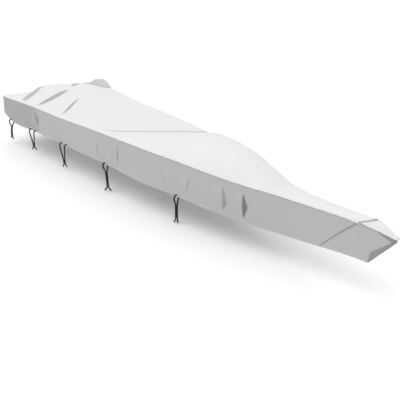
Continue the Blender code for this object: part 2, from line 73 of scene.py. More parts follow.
STATION_COLUMNS = ("x", "half_beam", "edge", "crown", "power", "drop")
STATIONS = (
    (0.00, 0.690, 0.014, 0.000, 2.2, 0.225),
    (0.12, 0.679, 0.012, 0.010, 2.2, 0.285),
    (0.30, 0.662, 0.020, 0.022, 2.2, 0.318),
    (0.75, 0.614, 0.026, 0.035, 2.2, 0.316),
    (1.25, 0.560, 0.018, 0.042, 2.2, 0.316),
    (2.00, 0.491, 0.034, 0.036, 2.2, 0.332),
    (2.50, 0.440, 0.036, 0.022, 2.2, 0.350),
    (2.75, 0.408, 0.033, 0.080, 2.6, 0.354),
    (3.05, 0.356, 0.028, 0.168, 2.6, 0.356),
    (3.35, 0.300, 0.016, 0.200, 2.4, 0.353),
    (3.60, 0.246, 0.005, 0.192, 2.3, 0.348),
    (3.85, 0.181, -0.003, 0.128, 2.1, 0.347),
    (4.10, 0.114, -0.005, 0.042, 2.0, 0.346),
    (4.40, 0.075, 0.006, 0.026, 2.0, 0.337),
    (4.65, 0.052, 0.018, 0.038, 2.0, 0.320),
    (4.85, 0.030, 0.009, 0.060, 2.0, 0.295),
    (5.00, 0.014, -0.010, 0.020, 2.0, 0.270),
)
TENT_RISE = 0.066
TENT_AFT = (0.00, -0.172)
TENT_SIDE = (0.50, -0.645)
TENT_FADE = 0.75
TENT_STEP = 0.05
LUMP_X, LUMP_LONG, LUMP_WIDE, LUMP_RISE = 0.255, 0.245, 0.16, 0.085
# The gusset's inner edge, from its aft corner: station, share of the half beam.
GUSSET_COLUMNS = ("x", "v")
GUSSET = ((0.020, 0.700), (0.180, 0.765), (0.340, 0.797), (0.420, 0.838), (0.465, 0.888), (0.500, 0.955))
GUSSET_END = 0.80      # where that line across the boat goes on, past the gusset
VALLEY = ((-1.0, 2.00), (-0.5, 2.26), (0.0, 2.47), (0.5, 2.61), (1.0, 2.73))
VALLEY_X, VALLEY_REACH = 2.47, 0.75
BELLIES = (
    (0.42, 0.24, 0.010),
    (1.02, 0.28, 0.012),
    (1.72, 0.34, 0.012),
    (2.60, 0.42, 0.014),
    (3.45, 0.25, 0.010),
    (4.05, 0.30, 0.008),
)
TIES = (
    ("1", 0.167, 0.167, 0.236, -0.072, 20.0, 0.042, 0.052, 34.0, 6.0),
    ("2", 0.640, 0.742, 0.224, -0.042, 30.0, 0.052, 0.052, 38.0, 38.0),
    ("3", 1.290, 1.386, 0.250, -0.028, 30.0, 0.050, 0.050, 30.0, 36.0),
    ("4", 2.100, 2.100, 0.266, 0.022, 30.0, 0.062, 0.058, 36.0, 48.0),
    ("5", 3.113, 3.113, 0.246, 0.006, 30.0, 0.046, 0.042, 24.0, 10.0),
)
EYELET_UP = 0.021
EYELET_IN, EYELET_OUT, EYELET_BARREL = 0.0090, 0.0155, 0.0104
EYELET_FLANGE = 0.0012
EYELET_CLEAR = 0.0004
CORD = 0.015
CORD_BEND = 0.0305
CORD_LOW = 0.0010
CORD_MEET = 0.085
KNOT = ((0.0200, 0.75), (0.0165, 1.45), (0.0090, 1.45), (0.0050, 1.0), (-0.0020, 1.0))
LEG_APART = CORD + 0.0008
SLEEVE_HIGH, SLEEVE_WALL = 0.011, 0.0024
BINDING = 0.0016
BINDING_WIDTH = (
    (0.04, 0.010),
    (0.12, 0.010),
    (0.20, 0.013),
    (0.30, 0.019),
    (0.40, 0.027),
    (0.50, 0.036),
    (0.58, 0.043),
    (0.64, 0.046),
    (0.72, 0.042),
    (0.81, 0.029),
    (0.90, 0.014),
    (0.98, 0.008),
)
BINDING_NOSE = (0.0140, 0.0030)    # how far its fold stands forward of the stem, at the top and the foot
TRIM_LONG, TRIM_HIGH = 0.118, 0.019


# ---------------------------------------------------------------- the CAD's curves
def through(xk, yk, x):
    xk, yk = np.asarray(xk, float), np.asarray(yk, float)
    h = np.diff(xk)
    d = np.diff(yk) / h
    m = np.zeros(len(xk))
    for i in range(1, len(xk) - 1):
        if d[i - 1] * d[i] > 0:
            w1, w2 = 2 * h[i] + h[i - 1], h[i] + 2 * h[i - 1]
            m[i] = (w1 + w2) / (w1 / d[i - 1] + w2 / d[i])
    m[0], m[-1] = d[0], d[-1]
    x = np.clip(np.asarray(x, float), xk[0], xk[-1])
    i = np.clip(np.searchsorted(xk, x, side="right") - 1, 0, len(xk) - 2)
    t = (x - xk[i]) / h[i]
    return (
        (1 + 2 * t) * (1 - t) ** 2 * yk[i]
        + t * (1 - t) ** 2 * h[i] * m[i]
        + t * t * (3 - 2 * t) * yk[i + 1]
        + t * t * (t - 1) * h[i] * m[i + 1]
    )


def station(name, x):
    k = STATION_COLUMNS.index(name)
    return through([r[0] for r in STATIONS], [r[k] for r in STATIONS], x)


def ease(a, b, x):
    t = np.clip((np.asarray(x, float) - a) / (b - a), 0.0, 1.0)
    return t * t * (3 - 2 * t)


def lump(x, inset):
    r2 = ((x - LUMP_X) / LUMP_LONG) ** 2 + (inset / LUMP_WIDE) ** 2
    return LUMP_RISE * np.clip(1.0 - r2, 0.0, None)


def tent(x, v, y):
    ax, ay = TENT_AFT
    bx, by = TENT_SIDE
    nx, ny = by - ay, -(bx - ax)
    n = math.hypot(nx, ny)
    past = -((x - ax) * nx + (y - ay) * ny) / n
    side = np.clip((1 - v) / 1.2, 0, 1) * np.clip((1 + v) / 0.6, 0, 1)
    return TENT_RISE * ease(-TENT_STEP, TENT_STEP, past) * side * np.exp(-((x / TENT_FADE) ** 2))


def top_height(x, v):
    x, v = np.asarray(x, float), np.asarray(v, float)
    half = station("half_beam", x)
    y = v * half
    slant = through([r[0] for r in VALLEY], [r[1] for r in VALLEY], v) - VALLEY_X
    near = np.clip(1 - ((x - VALLEY_X) / VALLEY_REACH) ** 2, 0, 1) ** 2
    xw = x - slant * near
    crown = station("crown", xw) * (1 - np.abs(v) ** station("power", xw))
    return station("edge", x) + crown + tent(x, v, y) + lump(x, half - y)


HOLD_Z = float(top_height(HOLD_X, 0.0)) - CLOTH


def top_point(x, v, up=0.0):
    x, v = np.asarray(x, float), np.asarray(v, float)
    return np.stack([x - HOLD_X, v * station("half_beam", x), top_height(x, v) + up - HOLD_Z], -1)


def belly(x, w):
    out = 0.0
    for bx, half, far in BELLIES:
        out = out + far * np.clip(1 - ((x - bx) / half) ** 2, 0, 1) ** 2
    return out * w**1.5


def edge_drop(x, v):
    step = 0.01
    slope = (top_height(np.asarray(x) + step, v) - top_height(np.asarray(x) - step, v)) / (2 * step)
    return CLOTH * np.sqrt(1 + slope**2) + EDGE_GAP


def corner_run(x):
    return CORNER_RUN * (1 - ease(0.0, 0.60, x))


def skirt_point(x, w, side, out=0.0):
    """A point of the side skirt's outer face: w runs from 0 at the gunwale to 1 at the hem."""
    x, w = np.asarray(x, float), np.asarray(w, float)
    t = x / LENGTH
    drop = station("drop", x)
    v = side * np.ones_like(x)
    upper = top_height(x, v) - edge_drop(x, v)
    lower = station("edge", x) - drop
    half = station("half_beam", x) + HEM_FLARE * drop * w * (1 - t**4) + belly(x, w) + out
    aft = STEM_RUN * drop * w * t**6 + corner_run(x) * w
    return np.stack([x - aft - HOLD_X, side * half, upper + (lower - upper) * w - HOLD_Z], -1)


def transom_point(v, w, aft=0.0):
    v, w = np.asarray(v, float), np.asarray(w, float)
    half = float(station("half_beam", 0.0))
    slope = (top_height(np.zeros_like(v), v + 0.01) - top_height(np.zeros_like(v), v - 0.01)) / (0.02 * half)
    upper = top_height(np.zeros_like(v), v) - CLOTH * np.sqrt(1 + slope**2) - EDGE_GAP
    corner = float(station("edge", 0.0) - station("drop", 0.0))
    lower = corner - 0.055 * (1 - v**4)
    flare = HEM_FLARE * (upper - lower) * w + 0.012 * w**1.5 * (1 - v**2)
    return np.stack([-flare - aft - CORNER_RUN * w - HOLD_X, v * half, upper + (lower - upper) * w - HOLD_Z], -1)


def spread(a, b, step):
    return list(np.linspace(a, b, max(2, int(round((b - a) / step)) + 1)))


BREAKS = (GUSSET[-1][0], 0.69, 1.338, 2.04, 3.05, BOW_SEAM_X)
top_stations = (
    spread(0.0, GUSSET[0][0], 0.02)[:-1]
    + spread(GUSSET[0][0], GUSSET[-1][0], 0.06)[:-1]
    + [x for a, b in zip(BREAKS, BREAKS[1:]) for x in spread(a, b, 0.13)[:-1]]
    + [BOW_SEAM_X]
)
FALL = np.array([0.0, 0.3, 0.62, 0.86, 1.0])
START_X = 0.0032


def eyelet_frame(x, side):
    """Centre of an eyelet in the cloth's mid layer, with its outward, forward and down axes."""
    i = int(np.searchsorted(top_stations, x)) - 1
    x_i, x_j, w_i, w_j = top_stations[i], top_stations[i + 1], FALL[-2], FALL[-1]
    rows = np.array([[skirt_point(k, w, side) for w in (w_i, w_j)] for k in (x_i, x_j)])
    u = (x - x_i) / (x_j - x_i)
    v = (1 - EYELET_UP / float(station("drop", x)) - w_i) / (w_j - w_i)
    here = (1 - u) * ((1 - v) * rows[0, 0] + v * rows[0, 1]) + u * ((1 - v) * rows[1, 0] + v * rows[1, 1])
    ahead = (1 - v) * (rows[1, 0] - rows[0, 0]) + v * (rows[1, 1] - rows[0, 1])
    down = (1 - u) * (rows[0, 1] - rows[0, 0]) + u * (rows[1, 1] - rows[1, 0])
    ahead /= np.linalg.norm(ahead)
    down -= ahead * (down @ ahead)
    down /= np.linalg.norm(down)
    out = np.cross(down, ahead)
    if out[1] * side < 0:
        out = -out
    return here - out * CLOTH / 2, out, ahead, down


def eyelet_stations(tie):
    x_a, x_b = tie[1], tie[2]
    return [("a", x_a)] if x_a == x_b else [("a", x_a), ("b", x_b)]


# ---------------------------------------------------------------- camera
CAMERA_AT = (3.8834, -2.7368, 1.4916)
CAMERA_RIGHT = (0.68113, 0.73124, 0.03678)
CAMERA_UP = (-0.36194, 0.29262, 0.88508)
CAMERA_AHEAD = (-0.63644, 0.61617, -0.46398)
lens = bpy.data.cameras.new("camera")
lens.sensor_fit = "HORIZONTAL"
lens.sensor_width = 36.0
lens.lens = 39.534
camera = bpy.data.objects.new("camera", lens)
bpy.context.scene.collection.objects.link(camera)
turned = Matrix((CAMERA_RIGHT, CAMERA_UP, [-c for c in CAMERA_AHEAD])).transposed().to_quaternion()
camera.rotation_mode = "QUATERNION"
camera.rotation_quaternion = turned
camera.location = CAMERA_AT
bpy.context.scene.camera = camera


# ---------------------------------------------------------------- materials
def material(name, colour, roughness, metallic=0.0, sheen=0.0):
    """A material, with its node tree and its shader."""
    m = bpy.data.materials.new(name)
    m.use_nodes = True
    tree = m.node_tree
    shader = tree.nodes["Principled BSDF"]
    shader.inputs["Base Color"].default_value = (*colour, 1.0)
    shader.inputs["Roughness"].default_value = roughness
    shader.inputs["Metallic"].default_value = metallic
    shader.inputs["Specular IOR Level"].default_value = 0.35
    if sheen:
        shader.inputs["Sheen Weight"].default_value = sheen
        shader.inputs["Sheen Roughness"].default_value = 0.6
    m.diffuse_color = (*colour, 1.0)
    return m, tree, shader


class Nodes:
    """Short ways of adding nodes to a material's tree."""

    def __init__(self, tree):
        self.tree = tree

    def add(self, kind, **values):
        node = self.tree.nodes.new(kind)
        for key, value in values.items():
            setattr(node, key, value)
        return node

    def link(self, source, target):
        self.tree.links.new(source, target)

    def math(self, operation, a, b=None, c=None, clamp=False):
        node = self.add("ShaderNodeMath", operation=operation, use_clamp=clamp)
        for k, value in enumerate((a, b, c)):
            if value is None:
                continue
            if isinstance(value, (int, float)):
                node.inputs[k].default_value = value
            else:
                self.link(value, node.inputs[k])
        return node.outputs[0]

    def attribute(self, name):
        return self.add("ShaderNodeAttribute", attribute_name=name).outputs["Fac"]

    def place(self, scale=(1, 1, 1), uv=False):
        coordinates = self.add("ShaderNodeTexCoord")
        mapping = self.add("ShaderNodeMapping")
        mapping.inputs["Scale"].default_value = scale
        self.link(coordinates.outputs["UV" if uv else "Object"], mapping.inputs["Vector"])
        return mapping.outputs["Vector"]

    def noise(self, vector, scale, detail=3.0, roughness=0.5):
        node = self.add("ShaderNodeTexNoise")
        node.inputs["Scale"].default_value = scale
        node.inputs["Detail"].default_value = detail
        node.inputs["Roughness"].default_value = roughness
        self.link(vector, node.inputs["Vector"])
        return node.outputs["Fac"]

    def between(self, value, low, high, to_low=0.0, to_high=1.0):
        node = self.add("ShaderNodeMapRange")
        for key, number in (("From Min", low), ("From Max", high), ("To Min", to_low), ("To Max", to_high)):
            node.inputs[key].default_value = number
        self.link(value, node.inputs["Value"])
        return node.outputs["Result"]

    def mix(self, share, a, b, blend="MIX"):
        node = self.add("ShaderNodeMix", data_type="RGBA", blend_type=blend)
        if isinstance(share, (int, float)):
            node.inputs["Factor"].default_value = share
        else:
            self.link(share, node.inputs["Factor"])
        colours = [s for s in node.inputs if s.type == "RGBA"]
        for socket, value in zip(colours, (a, b)):
            if isinstance(value, tuple):
                socket.default_value = (*value, 1.0)
            else:
                self.link(value, socket)
        return [s for s in node.outputs if s.type == "RGBA"][0]

    def bump(self, height, distance, strength=1.0, normal=None):
        node = self.add("ShaderNodeBump")
        node.inputs["Distance"].default_value = distance
        node.inputs["Strength"].default_value = strength
        self.link(height, node.inputs["Height"])
        if normal is not None:
            self.link(normal, node.inputs["Normal"])
        return node.outputs["Normal"]


def cloth_look(name, colour, roughness, weave=0.00035, shaded_colour=(0.0, 0.0, 0.0), rows=(), stitch=(0.8, 0.8, 0.8)):
    """Coated woven cloth: a fine weave, cloudy colour, painted shade in folds, seams and under edges, a painted
    highlight on lit edges, and rows of stitches.

    rows are distances from the piece's sewn edge, in the sheet's own second coordinate.
    """
    m, tree, shader = material(name, colour, roughness, sheen=0.06)
    n = Nodes(tree)
    flat = n.place()
    cloudy = n.noise(flat, 2.2, 4.0, 0.55)
    blotchy = n.noise(flat, 13.0, 3.0, 0.5)
    base = n.mix(n.between(cloudy, 0.30, 0.70), tuple(c * 0.985 for c in colour), tuple(min(1, c * 1.012) for c in colour))
    base = n.mix(n.between(blotchy, 0.35, 0.75, 0.0, 0.10), base, tuple(c * 0.94 for c in colour))
    # Painted shade: this mask darkens the cloth toward its shaded colour in folds, seams, grooves and just under
    # overhanging edges.
    painted_shade = n.attribute("painted_shade")
    base = n.mix(n.math("MULTIPLY", painted_shade, 1.0, clamp=True), base, shaded_colour)
    # Painted highlight along the top's gunwale edge and flat stern corner; the same mask also lightens the skirts' hems
    # and the binding's middle.
    bright = n.attribute("painted_highlight_and_lightening")
    base = n.mix(n.math("MULTIPLY", bright, 1.0, clamp=True), base, tuple(min(1, c * 1.07 + 0.02) for c in colour))
    # the weave, in the sheet's own coordinates
    along = n.place((1, 1, 1), uv=True)
    split = n.add("ShaderNodeSeparateXYZ")
    n.link(along, split.inputs[0])
    u, v = split.outputs[0], split.outputs[1]
    warp = n.math("SINE", n.math("MULTIPLY", u, 2 * math.pi / 0.0021))
    weft = n.math("SINE", n.math("MULTIPLY", v, 2 * math.pi / 0.0021))
    cross = n.math("MULTIPLY", warp, weft)
    height = n.math("MULTIPLY", cross, 0.5)
    stitches = None
    for far, pitch in rows:
        dash = n.math("SUBTRACT", n.math("ABSOLUTE", n.math("SUBTRACT", n.math("FRACT", n.math("MULTIPLY", u, 1 / pitch)), 0.5)), 0.36)
        line = n.math("SUBTRACT", n.math("ABSOLUTE", n.math("SUBTRACT", v, far)), 0.0007)
        here = n.math("MULTIPLY", n.math("LESS_THAN", dash, 0.0), n.math("LESS_THAN", line, 0.0))
        stitches = here if stitches is None else n.math("MAXIMUM", stitches, here)
    if stitches is not None:
        base = n.mix(n.math("MULTIPLY", stitches, 0.7), base, stitch)
        height = n.math("ADD", height, n.math("MULTIPLY", stitches, 2.5))
    n.link(base, shader.inputs["Base Color"])
    rough = n.between(blotchy, 0.3, 0.7, roughness - 0.05, roughness + 0.05)
    n.link(rough, shader.inputs["Roughness"])
    puckers = n.noise(n.place((1, 1, 1)), 38.0, 3.0, 0.5)
    normal = n.bump(puckers, 0.0012, 0.30)
    n.link(n.bump(height, weave, 0.5, normal), shader.inputs["Normal"])
    return m


top_look = cloth_look("cover_top", (0.702, 0.690, 0.710), 0.62, shaded_colour=(0.390, 0.380, 0.388), rows=((0.004, 0.0045), (0.024, 0.0045)), stitch=(0.60, 0.59, 0.61))
cap_look = cloth_look("cover_cap", (0.700, 0.690, 0.709), 0.62, shaded_colour=(0.22, 0.215, 0.22), rows=((0.004, 0.0045), (0.024, 0.0045)), stitch=(0.60, 0.59, 0.61))
skirt_look = cloth_look("cover_skirt", (0.410, 0.410, 0.410), 0.70, shaded_colour=(0.150, 0.150, 0.149), rows=((0.005, 0.0045), (0.034, 0.0045)), stitch=(0.60, 0.60, 0.60))
gusset_look = cloth_look("cover_gusset", (0.570, 0.561, 0.570), 0.70, shaded_colour=(0.23, 0.22, 0.23), rows=((0.004, 0.0045),), stitch=(0.70, 0.70, 0.70))
binding_look = cloth_look("cover_binding", (0.240, 0.240, 0.240), 0.72, shaded_colour=(0.11, 0.11, 0.11), rows=((0.003, 0.0045),), stitch=(0.36, 0.36, 0.36))


def cord_look():
    """Braided cord: black yarn whose crossings catch a little light, with some dust on it."""
    m, tree, shader = material("cord_braid", (0.010, 0.011, 0.013), 0.80, sheen=0.05)
    shader.inputs["Specular IOR Level"].default_value = 0.20
    n = Nodes(tree)
    ridge = n.attribute("braid")
    dust = n.noise(n.place(), 90.0, 4.0, 0.6)
    base = n.mix(n.between(ridge, 0.1, 0.9), (0.003, 0.0035, 0.004), (0.013, 0.015, 0.018))
    base = n.mix(n.between(dust, 0.55, 0.82, 0.0, 0.25), base, (0.045, 0.047, 0.050))
    n.link(base, shader.inputs["Base Color"])
    n.link(n.between(dust, 0.3, 0.7, 0.66, 0.86), shader.inputs["Roughness"])
    n.link(n.bump(n.noise(n.place(), 900.0, 2.0), 0.0004, 0.6), shader.inputs["Normal"])
    return m


def metal_look():
    """Pale satin eyelet: fine rubbing marks and duller patches."""
    m, tree, shader = material("eyelet_satin", (0.86, 0.85, 0.84), 0.36, 0.75)
    n = Nodes(tree)
    patches = n.noise(n.place(), 160.0, 4.0, 0.6)
    n.link(n.mix(n.between(patches, 0.4, 0.75, 0.0, 0.5), (0.90, 0.89, 0.88), (0.68, 0.66, 0.63)), shader.inputs["Base Color"])
    n.link(n.between(patches, 0.3, 0.7, 0.28, 0.48), shader.inputs["Roughness"])
    n.link(n.bump(n.noise(n.place((1, 1, 6)), 700.0, 2.0), 0.0002, 0.4), shader.inputs["Normal"])
    return m


def sleeve_look():
    """Matt moulded sleeve, pale in its middle and dark at its two ends."""
    m, tree, shader = material("sleeve_matt", (0.80, 0.80, 0.79), 0.48)
    n = Nodes(tree)
    rub = n.noise(n.place(), 120.0, 4.0, 0.6)
    clean = n.mix(n.between(rub, 0.45, 0.8, 0.0, 0.4), (0.86, 0.86, 0.85), (0.60, 0.60, 0.59))
    n.link(n.mix(n.attribute("pale"), (0.035, 0.036, 0.038), clean), shader.inputs["Base Color"])
    n.link(n.between(rub, 0.3, 0.7, 0.42, 0.56), shader.inputs["Roughness"])
    n.link(n.bump(n.noise(n.place(), 520.0, 3.0), 0.0003, 0.4), shader.inputs["Normal"])
    return m


cord_material, eyelet_material, sleeve_material = cord_look(), metal_look(), sleeve_look()


# ---------------------------------------------------------------- making pieces
def new_piece(name, verts, faces, look, replaced, smooth=True):
    mesh = bpy.data.meshes.new(name)
    verts = np.asarray(verts, np.float32).reshape(-1, 3)
    faces = [tuple(int(k) for k in f) for f in faces] if not isinstance(faces, np.ndarray) else faces
    if isinstance(faces, np.ndarray):
        mesh.vertices.add(len(verts))
        mesh.vertices.foreach_set("co", verts.ravel())
        mesh.loops.add(faces.size)
        mesh.loops.foreach_set("vertex_index", faces.astype(np.int32).ravel())
        mesh.polygons.add(len(faces))
        k = faces.shape[1]
        mesh.polygons.foreach_set("loop_start", np.arange(0, faces.size, k, dtype=np.int32))
        mesh.update(calc_edges=True)
    else:
        mesh.from_pydata(verts.tolist(), [], faces)
    mesh.validate()
    if smooth:
        mesh.shade_smooth()
    obj = bpy.data.objects.new(name, mesh)
    bpy.context.scene.collection.objects.link(obj)
    mesh.materials.append(look)
    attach(obj, "root")
    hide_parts(*replaced)
    return obj


def set_points(obj, name, values):
    attribute = obj.data.attributes.new(name, "FLOAT", "POINT")
    attribute.data.foreach_set("value", np.asarray(values, np.float32).ravel())


def unit(v):
    v = np.asarray(v, float)
    return v / np.maximum(np.linalg.norm(v, axis=-1, keepdims=True), 1e-12)


def even(points, step):
    """The line through the points, smooth, as points about a step apart, and its length."""
    p = np.asarray(points, float)
    ext = np.vstack([2 * p[0] - p[1], p, 2 * p[-1] - p[-2]])
    knots = np.concatenate([[0], np.cumsum(np.linalg.norm(np.diff(ext, axis=0), axis=1) ** 0.5)])
    fine = []
    for i in range(1, len(ext) - 2):
        t = np.linspace(knots[i], knots[i + 1], 24, endpoint=False)[:, None]
        t0, t1, t2, t3 = knots[i - 1 : i + 3]
        p0, p1, p2, p3 = ext[i - 1 : i + 3]
        a1 = (t1 - t) / (t1 - t0) * p0 + (t - t0) / (t1 - t0) * p1
        a2 = (t2 - t) / (t2 - t1) * p1 + (t - t1) / (t2 - t1) * p2
        a3 = (t3 - t) / (t3 - t2) * p2 + (t - t2) / (t3 - t2) * p3
        b1 = (t2 - t) / (t2 - t0) * a1 + (t - t0) / (t2 - t0) * a2
        b2 = (t3 - t) / (t3 - t1) * a2 + (t - t1) / (t3 - t1) * a3
        fine.append((t2 - t) / (t2 - t1) * b1 + (t - t1) / (t2 - t1) * b2)
    fine = np.vstack([*fine, p[-1:]])
    far = np.concatenate([[0], np.cumsum(np.linalg.norm(np.diff(fine, axis=0), axis=1))])
    count = max(3, int(round(far[-1] / step)) + 1)
    at = np.linspace(0, far[-1], count)
    return np.stack([np.interp(at, far, fine[:, k]) for k in range(3)], -1), float(far[-1]), at


# ---------------------------------------------------------------- ties
class Route:
    def __init__(self, start, direction):
        self.points = [np.array(start, float)]
        self.direction = np.array(direction, float) / np.linalg.norm(direction)

    def turn(self, toward, radius, angle, steps):
        d = self.direction
        n = toward - d * (toward @ d)
        n = n / np.linalg.norm(n)
        start = self.points[-1]
        for k in range(1, steps + 1):
            a = angle * k / steps
            self.points.append(start + d * radius * math.sin(a) + n * radius * (1 - math.cos(a)))
        self.direction = d * math.cos(angle) + n * math.sin(angle)

    def straight(self, length):
        self.points.append(self.points[-1] + self.direction * length)


DOWN = np.array([0.0, 0.0, -1.0])
LEVEL = np.array([1.0, 1.0, 0.0])


def sleeve_place(tie, side):
    name, x_a, x_b, fall, lean, twist = tie[:6]
    c_a, out, ahead, _ = eyelet_frame(x_a, side)
    c_b = eyelet_frame(x_b, side)[0]
    stand = 0.010 if x_a != x_b else 0.002
    centre = (c_a + c_b) / 2 + out * stand + np.array([lean, 0, -fall])
    angle = math.radians(twist)
    row = np.array([math.cos(angle), -side * math.sin(angle), 0.0])
    return centre, row


def leg_route(x, side, outside, single, through_at, aim, end, splay):
    beside = aim * LEG_APART / 2
    centre, out, ahead, down = eyelet_frame(x, side)
    away = out if outside else -out
    middle = centre + down * CORD_LOW
    if single:
        route = Route(middle + away * SEAM_GAP / 2, away)
        route.straight(0.002)
    else:
        route = Route(middle - away * KNOT[0][0], away)
        for back, _ in KNOT[1:]:
            route.points.append(middle - away * back)
    route.turn(DOWN, CORD_BEND, math.acos(float(away @ DOWN)), 5)
    knee = route.points[-1]
    above = through_at - DOWN * (SLEEVE_HIGH / 2 + 0.010)
    across_by, fall = above - knee, float((above - knee) @ DOWN)
    across_by = across_by - DOWN * fall
    if single:
        for t in (0.25, 0.50, 0.75, 1.0):
            f = t * t * (3 - 2 * t)
            drawn_in = beside - (knee - centre) * LEVEL
            drift = across_by - drawn_in
            route.points.append(knee + drawn_in * f + drift * (CORD_MEET * t / fall) + DOWN * CORD_MEET * t)
        route.points.append(above)
    else:
        for t in (0.22, 0.44, 0.70, 1.0):
            f = 0.5 * t + 0.5 * t * t * (3 - 2 * t)
            route.points.append(knee + across_by * f + DOWN * fall * t)
    route.direction = DOWN
    route.straight(SLEEVE_HIGH + 0.013)
    angle = math.radians(splay)
    route.turn(aim, CORD_BEND, angle, 3)
    route.straight(end - CORD_BEND * angle)
    return route.points


ROUND = 24            # vertices round a cord


def cord_piece(name, points, knotted, seed):
    """A braided tube along the route, its far end melted round, and a stopper knot at its start."""
    line, length, far = even(points, 0.0017)
    tangent = unit(np.gradient(line, axis=0))
    normals = np.zeros_like(line)
    guess = np.cross(tangent[0], [0.3, 0.9, 0.2])
    normals[0] = unit(guess)
    for k in range(1, len(line)):
        n = normals[k - 1] - tangent[k] * (normals[k - 1] @ tangent[k])
        normals[k] = unit(n)
    side = np.cross(tangent, normals)
    theta = np.linspace(0, 2 * math.pi, ROUND, endpoint=False) + seed
    s = far[:, None]
    lay_one = np.cos(4 * (theta[None] - s * 2 * math.pi / 0.040))
    lay_two = np.cos(4 * (theta[None] + s * 2 * math.pi / 0.040))
    braid = 0.5 + 0.5 * np.maximum(lay_one, lay_two)
    radius = CORD / 2 * (0.955 + 0.045 * braid)
    if knotted:
        swell = np.interp(far, [0.0, 0.0018, 0.0045, 0.0075, 0.0105, 0.0140], [0.55, 1.15, 1.46, 1.46, 1.20, 1.0])
        wrap = np.cos(2 * math.pi * (s / 0.0046) + theta[None])
        in_knot = np.clip((0.0115 - s) / 0.003, 0, 1)
        radius = radius * swell[:, None] * (1 - 0.055 * in_knot * (1 - wrap))
    melt = length - far
    tip = np.sqrt(np.clip(1 - np.clip(1 - melt / 0.0042, 0, 1) ** 2, 0.02, 1))
    swollen = 1 + 0.035 * np.exp(-(((melt - 0.005) / 0.003) ** 2))
    radius = radius * (tip * swollen)[:, None]
    ring = line[:, None] + radius[..., None] * (
        normals[:, None] * np.cos(theta)[None, :, None] + side[:, None] * np.sin(theta)[None, :, None]
    )
    rows = len(line)
    verts = np.vstack([ring.reshape(-1, 3), line[:1], line[-1:]])
    i, j = np.meshgrid(np.arange(rows - 1), np.arange(ROUND), indexing="ij")
    a, b = i * ROUND + j, i * ROUND + (j + 1) % ROUND
    quads = np.stack([a, b, b + ROUND, a + ROUND], -1).reshape(-1, 4)
    start, end = rows * ROUND, rows * ROUND + 1
    faces = [tuple(q) for q in quads.tolist()]
    last = (rows - 1) * ROUND
    for j in range(ROUND):
        k = (j + 1) % ROUND
        faces.append((start, k, j))
        faces.append((end, last + j, last + k))
    word = name.removesuffix("_cord")
    obj = new_piece(name, verts, faces, cord_material, [word])
    set_points(obj, "braid", np.concatenate([braid.ravel(), [0.3, 0.3]]))
    route = [line[int(k)] for k in np.linspace(0, rows - 1, 30)]
    return obj, length, route


def sleeve_piece(name, centre, row):
    """A ring with rounded rims, drawn apart so that it holds both legs, with a slight waist."""
    inner = CORD / 2 + 0.0004
    outer = CORD / 2 + 0.0008 + SLEEVE_WALL
    h = SLEEVE_HIGH / 2
    r = 0.0010
    profile = []
    for (px, pz, a0) in ((inner + r, -h + r, 180), (outer - r, -h + r, 270), (outer - r, h - r, 0), (inner + r, h - r, 90)):
        for k in range(4):
            a = math.radians(a0 + 30 * k)
            profile.append((px + r * math.cos(a), pz + r * math.sin(a)))
    profile.insert(8, (outer - 0.00035, 0.0))
    count = 48
    m = np.column_stack([row, np.cross([0, 0, 1.0], row), [0, 0, 1.0]])
    verts, pale = [], []
    for k in range(count):
        a = 2 * math.pi * (k + 0.5) / count
        for pr, pz in profile:
            x, y = pr * math.cos(a), pr * math.sin(a)
            waist = 1 - 0.06 * math.exp(-((x / 0.003) ** 2)) * (1 if pr > inner + 0.001 else 0)
            y *= waist
            x += math.copysign(LEG_APART / 2, x)
            verts.append(m @ np.array([x, y, pz]) + centre)
            pale.append(math.exp(-((x / (0.55 * CORD)) ** 4)) * (1 if abs(pz) < 0.62 * h else 0.35))
    p = len(profile)
    faces = [(k * p + j, ((k + 1) % count) * p + j, ((k + 1) % count) * p + (j + 1) % p, k * p + (j + 1) % p) for k in range(count) for j in range(p)]
    obj = new_piece(name, verts, faces, sleeve_material, [name.removesuffix("_ring")])
    set_points(obj, "pale", np.array(pale))
    return obj


def eyelet_piece(name, place):
    """A two-part eyelet: a rolled flange outside, a flat washer with a rolled lip inside."""
    centre, out, ahead, down = place
    near = CLOTH / 2 + EYELET_CLEAR
    far = near + EYELET_FLANGE
    outside = [
        (EYELET_BARREL, near), (EYELET_OUT - 0.0004, near), (EYELET_OUT, near + 0.00025),
        (EYELET_OUT - 0.0002, near + 0.0006), (EYELET_OUT - 0.0012, near + 0.0010), (EYELET_OUT - 0.0026, far),
        (EYELET_OUT - 0.0040, far), (EYELET_IN + 0.0013, far - 0.0002), (EYELET_IN + 0.0004, near + 0.0006), (EYELET_IN, near - 0.0002),
    ]
    inside = [
        (EYELET_IN, -near + 0.0002), (EYELET_IN + 0.0003, -near - 0.0005), (EYELET_IN + 0.0010, -far + 0.0001),
        (EYELET_IN + 0.0020, -far), (EYELET_IN + 0.0030, -far + 0.0003), (EYELET_IN + 0.0034, -near - 0.0005),
        (EYELET_OUT - 0.0006, -near - 0.0004), (EYELET_OUT, -near - 0.0002), (EYELET_OUT - 0.0002, -near), (EYELET_BARREL, -near),
    ]
    profile = outside + inside
    m = np.column_stack([ahead, np.cross(out, ahead), out])
    count, p = 48, len(profile)
    verts = [m @ np.array([r * math.cos(2 * math.pi * k / count), r * math.sin(2 * math.pi * k / count), z]) + centre for k in range(count) for r, z in profile]
    faces = [(k * p + j, k * p + (j + 1) % p, ((k + 1) % count) * p + (j + 1) % p, ((k + 1) % count) * p + j) for k in range(count) for j in range(p)]
    return new_piece(name, verts, faces[::-1], eyelet_material, [name.removesuffix("_ring")])


def facing_out(obj):
    """Turn the faces of a closed mesh outward."""
    bm = bmesh.new()
    bm.from_mesh(obj.data)
    bmesh.ops.recalc_face_normals(bm, faces=bm.faces)
    bm.to_mesh(obj.data)
    bm.free()
    return obj


